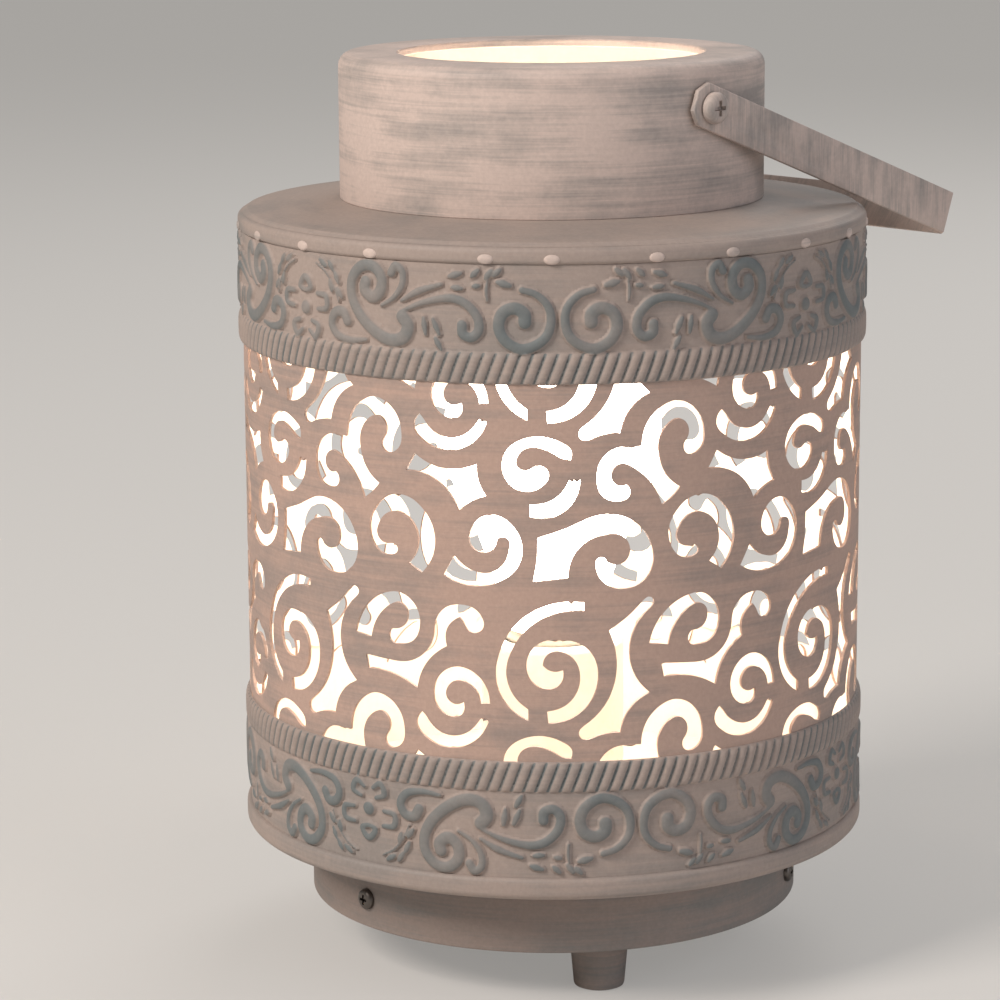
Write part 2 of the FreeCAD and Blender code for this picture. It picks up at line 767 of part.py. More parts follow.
def make_grille_shell():
    """The scroll-cut sheet: a tube that runs on behind both ornament bands."""
    radius = size.value("grille_radius")
    inside = radius - size.value("grille_sheet")
    floor = holder_bottom.value
    height = (roll_top - size.shoulder_sheet).value - floor
    tube = Part.makeCylinder(radius, height).cut(Part.makeCylinder(inside, height)).toNurbs()
    hidden = size.value("hidden_cut")
    low = size.lower_band_height + size.roll_height - hidden
    high = low + size.window_height + 2 * hidden
    level = drum_top.value - floor
    blades = scroll_cutters(low.value, high.value)
    for blade in blades:
        blade.translate(FreeCAD.Vector(0, 0, level))
    feature = doc.addObject("Part::Feature", "grille_shell")
    feature.Shape = tube.cut(blades)
    feature.Placement = FreeCAD.Placement(FreeCAD.Vector(0, 0, floor), FreeCAD.Rotation())
    return keep(feature, "grille_shell")


make_feet()
make_base_plate()
make_base_drum()
make_cord_bush()
make_body_floor()
make_band("lower_band", band_bottom, window_bottom)
make_grille_shell()
make_band("upper_band", window_top, roll_bottom)
make_shoulder_cover()
make_neck_collar()
make_pivot_screws()
make_handle()
make_threaded_nipple()
make_holder_cap()
make_holder_barrel()
make_holder_insert()
make_centre_contact()
make_bulb_contact()
make_bulb_cap()
make_bulb_glass()

doc.recompute()
for thing in doc.Objects:
    if "Invalid" in thing.State or "Error" in thing.State:
        raise ValueError(thing.Label + " is not built")

os.makedirs("parts", exist_ok=True)
for part in parts:
    if part.Shape.isNull() or not part.Shape.isValid() or not part.Shape.Solids:
        raise ValueError(part.Label + " has no sound solid")
    part.Shape.exportStep(os.path.join("parts", part.Label + ".step"))
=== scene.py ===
import math

import bmesh
import bpy
import numpy as np
from bpy.props import FloatProperty, FloatVectorProperty, IntProperty, PointerProperty
from mathutils import Matrix, Vector


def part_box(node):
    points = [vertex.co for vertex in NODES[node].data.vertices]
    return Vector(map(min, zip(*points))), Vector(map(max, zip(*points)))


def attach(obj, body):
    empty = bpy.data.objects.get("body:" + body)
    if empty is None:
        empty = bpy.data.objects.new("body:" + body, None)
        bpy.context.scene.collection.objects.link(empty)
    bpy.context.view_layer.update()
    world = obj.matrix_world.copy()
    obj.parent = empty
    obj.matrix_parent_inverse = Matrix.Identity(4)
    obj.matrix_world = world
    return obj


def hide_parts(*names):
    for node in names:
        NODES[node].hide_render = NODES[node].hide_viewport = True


bl_info = {
    "name": "Lantern table lamp",
    "version": (1, 0, 0),
    "blender": (4, 5, 0),
    "location": "View3D > Sidebar > Lantern",
    "description": "Builds the visible pieces of a pierced-metal lantern lamp round its frame",
    "category": "Object",
}

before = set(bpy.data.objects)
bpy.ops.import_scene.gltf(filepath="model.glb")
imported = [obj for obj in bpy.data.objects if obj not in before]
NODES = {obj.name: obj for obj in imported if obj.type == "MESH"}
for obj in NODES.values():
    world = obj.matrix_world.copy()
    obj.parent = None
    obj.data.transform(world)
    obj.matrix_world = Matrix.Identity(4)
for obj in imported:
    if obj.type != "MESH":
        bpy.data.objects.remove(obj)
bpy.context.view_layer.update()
MM = 0.001

# Levels from the floor, in millimetres, as in the frame.
WINDOW = (71.2, 168.3)
LOWER_BAND = (40.4, 71.2)
UPPER_BAND = (168.3, 198.4)
SHEET_EDGES = (35.4, 202.5)
SIDE_SCREW_LEVEL = 22.5

# Radii from the lamp's axis, in millimetres, as in the frame.
SHEET_RADIUS = 83.6
COLLAR_RADIUS = 57.0
MOUTH_RADIUS = 41.0
DRUM_RADIUS = 67.0
FOOT_CIRCLE = 50.0
PIVOT_HEAD_RADIUS = 59.15
PIVOT_NUT_RADIUS = 55.9

# Places round the lamp, in degrees from the front towards +X.
PIVOT_ANGLES = (44.7, 224.7)
FOOT_ANGLES = (14, 134, 254)
SIDE_SCREW_ANGLES = (-48, 72, 192)
FRONT_RIVET_ANGLES = (-48.75, -32.75, -11.25, 0.0, 18.0, 32.5, 50.0)

# The middle height of each band's ornament, and how far round from the front a mirror line
# of it lies, in millimetres.
UPPER_ORNAMENT = (187.4, 1.5)
LOWER_ORNAMENT = (51.7, 21.5)

PRESSED_SHEET = 0.9  # thickness of the top, the floor and the collar, mm


def level(node, end):
    """A CAD node's lowest (0) or highest (1) point, in millimetres."""
    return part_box(node)[end].z / MM


def shade(hex_text):
    """An sRGB hex colour as linear RGBA."""
    values = [int(hex_text[i:i + 2], 16) / 255 for i in (0, 2, 4)]
    return [v / 12.92 if v <= 0.04045 else ((v + 0.055) / 1.055) ** 2.4 for v in values] + [1.0]


# ---------------------------------------------------------------- patterns

# The scroll tile, unrolled flat as seen from outside: x runs round the sheet from the front,
# y is the height.  (x, y) is a straight stretch, (x1, y1, x, y) an arc through x1, y1.
SCROLLS = {
    "great_scroll": (
        (-1.5, 84.4), (-1.2, 81.2), (8.6, 85.4, 11.6, 93.2), (8.9, 100.6, 1.5, 103.1),
        (-5.0, 101.0, -6.8, 95.5), (-5.3, 91.8, -1.5, 90.1), (2.0, 91.5, 2.6, 95.2),
        (-0.2, 94.7, -2.6, 96.4), (-1.6, 99.2, 2.0, 100.1), (5.9, 97.6, 7.0, 93.5),
        (4.8, 87.2, -1.5, 84.4)),
    "great_arc": (
        (8.0, 110.4), (8.0, 112.7), (-6.5, 109.6, -14.0, 98.5), (-13.7, 89.0, -6.3, 81.9),
        (-6.3, 84.9), (-11.4, 91.0, -11.3, 98.5), (-4.3, 107.6, 8.0, 110.4)),
    "tall_bone": (
        (14.3, 105.2), (16.4, 97.5, 14.6, 88.0), (11.6, 83.6, 7.2, 80.1),
        (6.6, 78.0, 9.0, 76.7), (13.0, 78.3, 17.2, 78.4), (19.4, 84.2, 25.0, 88.4),
        (19.5, 99.5, 25.9, 111.2), (25.6, 113.2, 23.6, 113.0), (18.8, 108.3, 14.3, 105.2)),
    "leaf_hook": (
        (30.0, 100.6), (24.8, 101.3), (29.6, 110.0, 37.5, 113.6), (43.6, 110.2, 44.6, 105.0),
        (42.5, 100.8, 38.5, 99.9), (35.4, 101.4, 36.5, 103.7), (39.4, 104.2, 41.2, 107.5),
        (40.3, 110.0, 37.5, 110.8), (32.6, 107.0, 30.0, 100.6)),
    "branch_bone": (
        (28.1, 95.9), (28.9, 92.2), (36.8, 91.8, 43.7, 88.7), (46.3, 95.8, 52.0, 100.5),
        (52.3, 106.0, 55.4, 108.3), (56.4, 107.3, 57.0, 105.4), (60.7, 104.6, 62.0, 107.2),
        (59.9, 110.6, 55.5, 111.6), (50.2, 109.4, 48.5, 103.8), (45.6, 97.9, 38.0, 95.2),
        (28.1, 95.9)),
    "small_scroll": (
        (60.9, 85.9), (63.3, 86.1), (61.0, 92.6, 55.5, 95.5), (50.0, 93.0, 48.1, 88.0),
        (49.4, 83.9, 52.8, 82.0), (56.3, 83.2, 56.4, 86.1), (53.2, 85.6, 51.5, 88.0),
        (52.6, 90.8, 55.3, 91.9), (59.2, 90.3, 60.9, 85.9)),
    "cradle": (
        (45.9, 82.3), (45.0, 82.8), (43.2, 80.0, 45.0, 76.8), (54.5, 73.9, 62.9, 81.2),
        (62.0, 82.2, 60.5, 81.7), (53.0, 77.0, 45.9, 82.3)),
    "forked_scroll": (
        (22.7, 152.3), (25.5, 160.2, 31.5, 163.6), (38.0, 160.3, 39.9, 154.3),
        (39.0, 150.6, 36.6, 149.3), (34.1, 150.5, 35.0, 153.4), (35.0, 157.4, 32.5, 159.0),
        (28.3, 156.0, 27.3, 150.0), (28.9, 145.0, 33.1, 141.2), (31.2, 139.0, 28.2, 136.9),
        (24.2, 144.2, 18.5, 148.1), (15.5, 147.0, 15.0, 144.0), (16.3, 142.5, 18.8, 142.6),
        (20.0, 140.6, 17.8, 138.4), (12.6, 139.6, 11.2, 144.5), (13.4, 150.6, 18.5, 152.4),
        (22.7, 152.3)),
    "star_bone": (
        (43.6, 149.8), (51.5, 146.4, 60.2, 147.9), (60.6, 143.6, 62.7, 139.8),
        (58.6, 138.4, 55.5, 135.8), (50.3, 142.9, 41.0, 145.3), (43.6, 149.8)),
    "tailed_scroll": (
        (4.6, 149.2), (5.0, 151.0, 3.2, 153.2), (-3.5, 155.4, -9.8, 153.5),
        (-12.9, 147.5, -10.5, 142.4), (-5.5, 141.1, -1.2, 143.9), (-1.5, 147.2, -4.8, 147.6),
        (-7.4, 146.6, -9.4, 148.6), (-7.5, 151.9, -3.3, 152.3), (0.2, 151.0, 2.2, 149.4),
        (4.6, 149.2)),
    "tick": (
        (-5.8, 134.7), (-5.8, 138.0), (0.8, 139.5, 4.3, 144.4), (7.1, 144.4),
        (4.5, 137.3, -5.8, 134.7)),
    "square_hook": (
        (-5.0, 118.0), (-3.9, 124.0, -3.8, 129.4), (3.4, 131.8, 9.5, 134.6),
        (20.6, 133.3, 25.8, 125.5), (24.0, 118.2, 17.5, 115.8), (12.3, 118.0, 10.8, 122.6),
        (12.0, 124.3, 13.8, 123.0), (17.3, 122.2, 19.8, 125.5), (18.6, 129.0, 14.5, 130.0),
        (7.0, 127.0, 3.9, 119.0), (-5.0, 118.0)),
    "round_hook": (
        (41.5, 121.3), (45.2, 119.0), (49.1, 126.5, 45.5, 136.0), (38.5, 139.0, 32.0, 135.0),
        (29.8, 129.5, 31.3, 124.9), (34.3, 122.7, 38.0, 123.4), (38.3, 125.2, 36.5, 126.0),
        (32.6, 127.0, 32.6, 130.4), (36.5, 134.4, 41.5, 133.4), (44.4, 128.5, 41.5, 121.3)),
    "turned_scroll": (
        (54.2, 124.4), (51.1, 119.0), (61.0, 116.5, 69.0, 119.7), (71.9, 126.5, 68.5, 133.3),
        (63.0, 135.1, 58.5, 131.0), (58.4, 127.0, 61.3, 125.2), (64.4, 126.2, 65.4, 128.9),
        (67.3, 129.4, 68.3, 126.5), (65.8, 121.2, 60.0, 120.3), (56.6, 121.8, 54.2, 124.4)),
}
TILE = (79.4, 77.3)  # width and height of the tile, mm

# Half a repeat of the bands' raised scrollwork: x from the mirror line between two C-scrolls
# to the middle of the flower, y from the ornament's middle height.  Each stroke has its width
# at the start, in the middle and at the end, then the points that it runs through.
STROKES = (
    ((2.0, 3.0, 3.8), (8.8, 4.9), (5.4, 3.8), (2.6, 1.1), (1.7, -2.4), (2.7, -6.4), (5.7, -9.0),
     (9.5, -9.8), (13.1, -7.8), (14.7, -4.4), (13.7, -1.0), (10.8, 0.3), (8.4, -1.0), (8.2, -3.2)),
    ((1.2, 2.6, 3.0), (40.4, -1.6), (35.5, 0.6), (30.5, 2.0), (26.5, 2.4), (23.0, 1.2),
     (20.2, -1.9), (19.7, -5.2), (21.5, -7.2), (23.8, -6.4), (24.0, -4.2)),
    ((1.2, 2.2, 1.4), (40.2, 1.2), (35.5, 3.8), (29.5, 5.8)),
    ((3.6, 3.2, 4.0), (50.8, 5.2), (51.1, 3.2), (48.7, 1.5), (46.3, 3.4), (46.1, 6.9),
     (48.7, 9.4), (52.3, 8.9), (55.1, 5.6), (55.1, 1.1), (52.5, -3.4), (48.0, -7.2),
     (43.5, -9.0), (39.8, -8.1), (38.5, -5.1), (40.0, -2.9)),
    ((1.2, 2.0, 2.6), (46.0, -0.4), (42.5, 1.8), (40.1, 5.1), (39.9, 8.4), (41.8, 9.9),
     (43.1, 8.0)),
    ((1.4, 2.6, 3.2), (51.0, -9.5), (55.5, -10.0), (60.1, -9.1), (62.1, -6.2), (60.8, -3.4),
     (58.1, -3.1), (56.8, -5.2)),
    ((1.4, 2.0, 1.2), (34.2, -2.9), (33.7, -6.9)),
    ((1.4, 2.0, 1.2), (31.6, -3.1), (30.0, -6.8)),
    ((1.4, 2.0, 1.2), (31.0, -7.9), (29.5, -10.6)),
    ((1.2, 2.2, 1.4), (27.3, 7.9), (24.3, 8.8)),
    ((1.2, 2.0, 1.4), (26.5, 5.2), (24.1, 5.0)),
    ((1.2, 2.0, 1.4), (21.5, 8.1), (19.9, 9.6)),
    ((1.2, 1.8, 1.4), (21.1, 5.6), (19.7, 5.8)),
    ((1.2, 2.0, 1.4), (18.0, 7.6), (16.5, 9.6)),
    ((1.2, 2.0, 1.4), (15.9, 8.4), (14.4, 9.9)),
    ((1.4, 2.4, 1.6), (15.0, 6.8), (11.9, 6.0)),
    ((0.9, 1.2, 1.0), (17.5, 7.0), (17.8, 4.4), (17.6, 2.2)),
    ((3.8, 3.8, 3.8), (72.0, -3.1), (71.9, -3.3)),
    ((1.5, 2.2, 1.5), (74.2, 2.2), (72.0, 4.7), (69.8, 2.2), (72.0, 1.2)),
    ((1.5, 2.2, 1.5), (67.4, 0.8), (64.2, 0.4), (64.0, -2.6), (67.2, -3.2)),
    ((1.5, 2.2, 1.5), (69.6, -6.4), (67.0, -7.6), (68.2, -10.4), (70.6, -9.0)),
    ((1.3, 2.0, 1.3), (66.2, 9.6), (64.0, 8.2)),
    ((1.3, 2.0, 1.3), (62.9, 9.4), (61.4, 7.2)),
    ((1.3, 2.0, 1.3), (60.9, 6.8), (59.7, 4.2)),
    ((1.3, 2.0, 1.3), (60.0, 2.6), (58.6, 0.6)),
    ((1.3, 2.0, 1.3), (62.6, 4.4), (62.0, 2.0)),
    ((0.8, 1.0, 0.8), (67.6, 8.6), (64.2, 6.6), (61.4, 3.2), (59.6, -0.6)),
)
REPEAT = 144.0  # length round the band of one whole repeat, mm
MIDDLE_OF_STROKE = 0.45  # how far along a stroke its middle width stands, 0 to 1


def arc_points(start, middle, end, turn):
    """Points after start along the arc through middle to end, a few degrees apart."""
    (ax, ay), (bx, by), (cx, cy) = start, middle, end
    cross = 2 * (ax * (by - cy) + bx * (cy - ay) + cx * (ay - by))
    aa, bb, cc = ax * ax + ay * ay, bx * bx + by * by, cx * cx + cy * cy
    centre = Vector(((aa * (by - cy) + bb * (cy - ay) + cc * (ay - by)) / cross,
                     (aa * (cx - bx) + bb * (ax - cx) + cc * (bx - ax)) / cross))
    spoke = Vector(start) - centre
    first = math.atan2(spoke.y, spoke.x)
    sweep = math.atan2(cy - centre.y, cx - centre.x) - first
    sweep = sweep % math.tau if cross > 0 else -(-sweep % math.tau)
    count = max(2, math.ceil(abs(sweep) / turn))
    return [tuple(centre + Matrix.Rotation(sweep * i / count, 2) @ spoke)
            for i in range(1, count)] + [end]


def scroll_outline(steps):
    """One cut-out's outline as points close enough to look round."""
    points = [steps[0]]
    for step in steps[1:]:
        if len(step) == 2:
            points.append(step)
        else:
            points += arc_points(points[-1], step[:2], step[2:], math.radians(14))
    if math.dist(points[0], points[-1]) < 1e-6:
        points.pop()
    return eased(points)


def eased(points, spacing=0.9, passes=3, corner=38.0):
    """A closed outline with its faint kinks filed smooth; true corners stay where they are."""
    count = len(points)
    fixed, even = [], []
    for i, here in enumerate(points):
        before, after = points[i - 1], points[(i + 1) % count]
        turn = (Vector(here) - Vector(before)).angle(Vector(after) - Vector(here))
        steps = max(1, round(math.dist(here, after) / spacing))
        for k in range(steps):
            even.append(Vector(here).lerp(Vector(after), k / steps))
            fixed.append(k == 0 and turn > math.radians(corner))
    for _ in range(passes):
        even = [p if held else p * 0.5 + (a + b) * 0.25 for p, held, a, b in
                zip(even, fixed, even[-1:] + even[:-1], even[1:] + even[:1])]
    return [tuple(p) for p in even]


def smooth_path(points, spacing):
    """Points at an even spacing along a smooth curve through the given ones, with how far
    along it each lies, 0 to 1."""
    p = np.array(points, float)
    p = np.vstack([2 * p[0] - p[1], p, 2 * p[-1] - p[-2]])
    t = np.linspace(0, 1, 24, endpoint=False)[:, None]
    runs = []
    for a, b, c, d in zip(p, p[1:], p[2:], p[3:]):
        runs.append(0.5 * (2 * b + (c - a) * t + (2 * a - 5 * b + 4 * c - d) * t ** 2
                           + (3 * b - a - 3 * c + d) * t ** 3))
    fine = np.vstack(runs + [p[-2:-1]])
    along = np.r_[0, np.cumsum(np.linalg.norm(np.diff(fine, axis=0), axis=1))]
    even = np.linspace(0, along[-1], max(2, int(along[-1] / spacing) + 1))
    return np.c_[np.interp(even, along, fine[:, 0]), np.interp(even, along, fine[:, 1])], \
        even / along[-1]


# ---------------------------------------------------------------- making and finishing pieces

def finish_piece(bm, name, body, material, replaced=(), crease=35.0):
    """Turns a bmesh in millimetres into a piece of the lamp that rides on a body and takes the
    place of the CAD nodes in replaced.  Edges that turn by more than crease degrees stay
    sharp."""
    bmesh.ops.scale(bm, vec=(MM, MM, MM), verts=bm.verts)
    mesh = bpy.data.meshes.new(name)
    bm.to_mesh(mesh)
    bm.free()
    for polygon in mesh.polygons:
        polygon.use_smooth = True
    mesh.set_sharp_from_angle(angle=math.radians(crease))
    piece = bpy.data.objects.new(name, mesh)
    bpy.context.scene.collection.objects.link(piece)
    mesh.materials.append(material)
    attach(piece, body)
    if replaced:
        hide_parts(*replaced)
    return piece


def spun(profile, steps, closed=True):
    """A bmesh turned about Z from (radius, height) points in millimetres."""
    bm = bmesh.new()
    verts = [bm.verts.new((r, 0, z)) for r, z in profile]
    ends = list(zip(verts, verts[1:] + verts[:1])) if closed else list(zip(verts, verts[1:]))
    edges = [bm.edges.new(pair) for pair in ends]
    bmesh.ops.spin(bm, geom=verts + edges, cent=(0, 0, 0), axis=(0, 0, 1), dvec=(0, 0, 0),
                   angle=math.tau, steps=steps, use_merge=True)
    bmesh.ops.remove_doubles(bm, verts=bm.verts, dist=1e-4)
    bmesh.ops.recalc_face_normals(bm, faces=bm.faces)
    return bm


def rounded(profile, radii, steps=5):
    """The profile with a rounding of the given radius at each corner, 0 for a sharp one."""
    count = len(profile)
    points = []
    for i, (corner, radius) in enumerate(zip(profile, radii)):
        here = Vector(corner)
        if not radius:
            points.append(corner)
            continue
        before = (Vector(profile[i - 1]) - here).normalized()
        after = (Vector(profile[(i + 1) % count]) - here).normalized()
        half = before.angle(after) / 2
        centre = here + (before + after).normalized() * (radius / math.sin(half))
        first = here + before * (radius / math.tan(half)) - centre
        last = here + after * (radius / math.tan(half)) - centre
        turn = first.angle_signed(last)
        for k in range(steps + 1):
            angle = -turn * k / steps
            points.append(tuple(centre + Matrix.Rotation(angle, 2) @ first))
    return points


def turn_to(bm, angle, radius=0.0, height=0.0, outward=False):
    """Moves a bmesh made on the Z axis out to its place round the lamp.  Angles run from the
    front towards +X; with outward its own +Z ends up pointing out from the lamp's axis."""
    move = Matrix.Rotation(math.radians(angle), 4, "Z") @ Matrix.Translation((0, -radius, height))
    if outward:
        move = move @ Matrix.Rotation(math.radians(90), 4, "X")
    bmesh.ops.transform(bm, matrix=move, verts=bm.verts)
    return bm


def join(bmeshes):
    """One bmesh of several."""
    whole = bmesh.new()
    for bm in bmeshes:
        scrap = bpy.data.meshes.new("scrap")
        bm.to_mesh(scrap)
        bm.free()
        whole.from_mesh(scrap)
        bpy.data.meshes.remove(scrap)
    return whole


def add_node(tree, kind, links=(), **settings):
    """Adds a shader node.  links maps an input to another node's output or to a value."""
    node = tree.nodes.new(kind)
    for name, value in settings.items():
        setattr(node, name, value)
    for socket, source in dict(links).items():
        if isinstance(source, bpy.types.NodeSocket):
            tree.links.new(source, node.inputs[socket])
        else:
            node.inputs[socket].default_value = source
    return node


def new_material(name):
    """An empty node material, its tree and its output node."""
    material = bpy.data.materials.new(name)
    material.use_nodes = True
    tree = material.node_tree
    tree.nodes.clear()
    out = tree.nodes.new("ShaderNodeOutputMaterial")
    return material, tree, out


def chalk_paint(name, paint, relief=False, streaks="level", amount=0.55):
    """Chalky cream-grey paint on sheet metal with a darker grey wash rubbed over it.  The wash
    stays in dry-brushed streaks and a soft mottle, and with relief on the raised work."""
    look = bpy.context.scene.lantern_finish
    material, tree, out = new_material(name)
    place = add_node(tree, "ShaderNodeTexCoord").outputs["Object"]
    # Brush marks 3 to 5 mm wide and about 50 mm long, with bristle lines 0.6 mm apart in them.
    squash = {"level": (20, 20, 230), "flat": (60, 420, 60)}[streaks]
    stretched = add_node(tree, "ShaderNodeMapping", {"Vector": place, "Scale": squash})
    stroke_noise = add_node(tree, "ShaderNodeTexNoise",
                            {"Vector": stretched.outputs[0], "Scale": 1.0, "Detail": 2.0,
                             "Roughness": 0.5, "Distortion": 0.3})
    drawn = add_node(tree, "ShaderNodeMapping",
                     {"Vector": place, "Scale": [v * 6.5 if v > 100 else v * 1.6
                                                 for v in squash]})
    hairs = add_node(tree, "ShaderNodeTexNoise",
                     {"Vector": drawn.outputs[0], "Scale": 1.0, "Detail": 3.0,
                      "Roughness": 0.6})
    bristle = add_node(tree, "ShaderNodeMix",
                       {"Factor": 0.42, "A": stroke_noise.outputs[0],
                        "B": hairs.outputs[0]}, data_type="FLOAT")
    patch = add_node(tree, "ShaderNodeTexNoise",
                     {"Vector": place, "Scale": 24.0, "Detail": 6.0, "Roughness": 0.68})
    grain = add_node(tree, "ShaderNodeTexNoise",
                     {"Vector": place, "Scale": 900.0, "Detail": 3.0, "Roughness": 0.6})
    both = add_node(tree, "ShaderNodeMath",
                    {0: bristle.outputs["Result"], 1: patch.outputs[0]},
                    operation="ADD")
    rubbed = add_node(tree, "ShaderNodeMapRange",
                      {"Value": both.outputs[0], "From Min": 0.93, "From Max": 1.2,
                       "To Min": 0.0, "To Max": amount})
    wash = rubbed.outputs[0]
    if relief:
        height = add_node(tree, "ShaderNodeAttribute", attribute_name="relief")
        stroke = add_node(tree, "ShaderNodeMapRange",
                          {"Value": height.outputs["Fac"], "From Min": 0.34, "From Max": 0.7,
                           "To Min": 0.0, "To Max": 1.0})
        worn = add_node(tree, "ShaderNodeMapRange",
                        {"Value": patch.outputs[0], "From Min": 0.35, "From Max": 0.6,
                         "To Min": 0.5, "To Max": 1.0})
        touched = add_node(tree, "ShaderNodeMath", {0: stroke.outputs[0], 1: worn.outputs[0]},
                           operation="MULTIPLY")
        wash = add_node(tree, "ShaderNodeMath", {0: wash, 1: touched.outputs[0]},
                        operation="MAXIMUM").outputs[0]
    colour = add_node(tree, "ShaderNodeMix",
                      {"Factor": wash, "A": shade_of(getattr(look, paint)),
                       "B": shade_of(look.wash)},
                      data_type="RGBA")
    speck = add_node(tree, "ShaderNodeMapRange",
                     {"Value": grain.outputs[0], "From Min": 0.35, "From Max": 0.7,
                      "To Min": 0.93, "To Max": 1.03})
    spotted = add_node(tree, "ShaderNodeMix",
                       {"Factor": 1.0, "A": colour.outputs["Result"],
                        "B": speck.outputs[0]}, data_type="RGBA", blend_type="MULTIPLY")
    bump = add_node(tree, "ShaderNodeBump",
                    {"Height": both.outputs[0], "Strength": 0.25, "Distance": 0.0004})
    fine = add_node(tree, "ShaderNodeBump",
                    {"Height": grain.outputs[0], "Strength": 0.2, "Distance": 0.0002,
                     "Normal": bump.outputs[0]})
    skin = add_node(tree, "ShaderNodeBsdfPrincipled",
                    {"Base Color": spotted.outputs["Result"], "Roughness": 0.62,
                     "Normal": fine.outputs[0], "IOR": 1.45})
    tree.links.new(skin.outputs[0], out.inputs["Surface"])
    return material


def shade_of(colour):
    """A colour setting as linear RGBA."""
    return list(colour) + [1.0]


def plain_material(name, hex_text, roughness, metallic=0.0, grain=600.0, swing=0.12):
    """A plain finish with the slight mottle and grain that keeps it from looking flat."""
    material, tree, out = new_material(name)
    place = add_node(tree, "ShaderNodeTexCoord").outputs["Object"]
    noise = add_node(tree, "ShaderNodeTexNoise", {"Vector": place, "Scale": grain, "Detail": 3.0})
    base = shade(hex_text)
    dark = [c * (1 - swing) for c in base[:3]] + [1.0]
    colour = add_node(tree, "ShaderNodeMix",
                      {"Factor": noise.outputs[0], "A": dark, "B": base}, data_type="RGBA")
    bump = add_node(tree, "ShaderNodeBump",
                    {"Height": noise.outputs[0], "Strength": 0.15, "Distance": 0.0001})
    skin = add_node(tree, "ShaderNodeBsdfPrincipled",
                    {"Base Color": colour.outputs["Result"], "Roughness": roughness,
                     "Metallic": metallic, "Normal": bump.outputs[0]})
    tree.links.new(skin.outputs[0], out.inputs["Surface"])
    return material


def frosted_glow(name):
    """The lit bulb: frosted glass, brightest towards its crown where the filament stands."""
    look = bpy.context.scene.lantern_finish
    material, tree, out = new_material(name)
    place = add_node(tree, "ShaderNodeTexCoord").outputs["Object"]
    split = add_node(tree, "ShaderNodeSeparateXYZ", {0: place})
    rise = add_node(tree, "ShaderNodeMapRange",
                    {"Value": split.outputs["Z"], "From Min": 0.09, "From Max": 0.125,
                     "To Min": 0.75, "To Max": 1.0})
    strength = add_node(tree, "ShaderNodeMath", {0: rise.outputs[0], 1: look.bulb_power},
                        operation="MULTIPLY")
    skin = add_node(tree, "ShaderNodeBsdfPrincipled",
                    {"Base Color": shade("fff4e2"), "Roughness": 0.45,
                     "Emission Color": shade_of(look.bulb_light),
                     "Emission Strength": strength.outputs[0]})
    tree.links.new(skin.outputs[0], out.inputs["Surface"])
    return material


MATERIALS = {}


def material(name):
    """Each material is made once, when the first piece asks for it."""
    makers = {
        # Pale cream, matt, with grey brush streaks that run round the collar; its paleness is
        # partly painted light, the lit copy of the body's coat.
        "chalk_painted_collar": lambda: chalk_paint(name, "paint"),
        # The same coat darker and browner as painted shade, on the top and the floor, with fainter
        # streaks.
        "chalk_painted_body": lambda: chalk_paint(name, "body_paint", amount=0.42),
        # The greyest and most streaked coat, darkened as painted shade where the drum sits in the
        # body's shadow.
        "chalk_painted_base": lambda: chalk_paint(name, "base_paint_and_painted_shade", amount=0.6),
        # A matt coat tinted warm pink as painted light, the lamp's glow over the sheet; it stands
        # out against the light in the cut-outs.
        "chalk_painted_shade": lambda: chalk_paint(name, "sheet_paint_and_painted_glow", amount=0.45),
        # The body's coat in painted shade, with the wash colour on the scrollwork and the rope
        # darkened between its ribs.
        "chalk_painted_relief": lambda: chalk_paint(name, "body_paint", relief=True, amount=0.4),
        # The collar's coat, paler with painted light, brushed across the handle's strip.
        "chalk_painted_strip": lambda: chalk_paint(name, "paint", streaks="flat"),
        # Bare pale coat inside the lamp, which glows evenly in the bulb's light.
        "cream_undercoat": lambda: plain_material(name, "efe6dc", 0.7),
        # Smooth off-white plastic with a soft sheen.
        "white_polyamide": lambda: plain_material(name, "ece7de", 0.4),
        # Dark grey metal with small glints, on the screws and nuts.
        "zinc_plated_steel": lambda: plain_material(name, "6f6a66", 0.35, 1.0),
        # Clean silvery metal with bright edges.
        "nickel_plated_brass": lambda: plain_material(name, "b9b6b0", 0.3, 1.0),
        # Warm yellow metal.
        "bare_brass": lambda: plain_material(name, "c9a55a", 0.35, 1.0),
        # Black plastic with a fine grain, hardly shiny.
        "moulded_thermoplastic": lambda: plain_material(name, "161616", 0.5, grain=1500.0),
        # Milky glass that is all light, a little stronger towards the top.
        "frosted_glass": lambda: frosted_glow(name),
    }
    if name not in MATERIALS:
        MATERIALS[name] = makers[name]()
    return MATERIALS[name]


def refinish(node, finish):
    """Gives a CAD node that stays in the picture its material."""
    NODES[node].data.materials.clear()
    NODES[node].data.materials.append(material(finish))


# ---------------------------------------------------------------- settings

def length(name, default, description):
    """A setting in millimetres that can't go below nought."""
    return FloatProperty(name=name, description=description, default=default, min=0.0)


def colour(name, hex_text, description):
    """A colour setting whose default is an sRGB hex colour."""
    return FloatVectorProperty(name=name, description=description, subtype="COLOR",
                               default=shade(hex_text)[:3], min=0.0, max=1.0)


class LanternSizes(bpy.types.PropertyGroup):
    """Sizes that a user would change, in millimetres."""
    relief: length("Relief", 1.2, "How far the bands' ornament stands out, mm")
    rope: length("Rope bulge", 1.12, "How far the rope edge stands out, mm")
    rope_pitch: length("Rope pitch", 3.1, "Distance between two ribs of the rope, mm")
    rope_width: length("Rope width", 8.1, "Height of the rope edge, mm")
    sheet: length("Sheet", 0.8, "Thickness of the scroll-cut sheet, mm")
    cell: length("Relief mesh", 0.43, "Distance between the vertices of the relief, mm")
    rivets: IntProperty(name="Rivets", description="Rivet heads under the upper bead",
                        default=22, min=0)


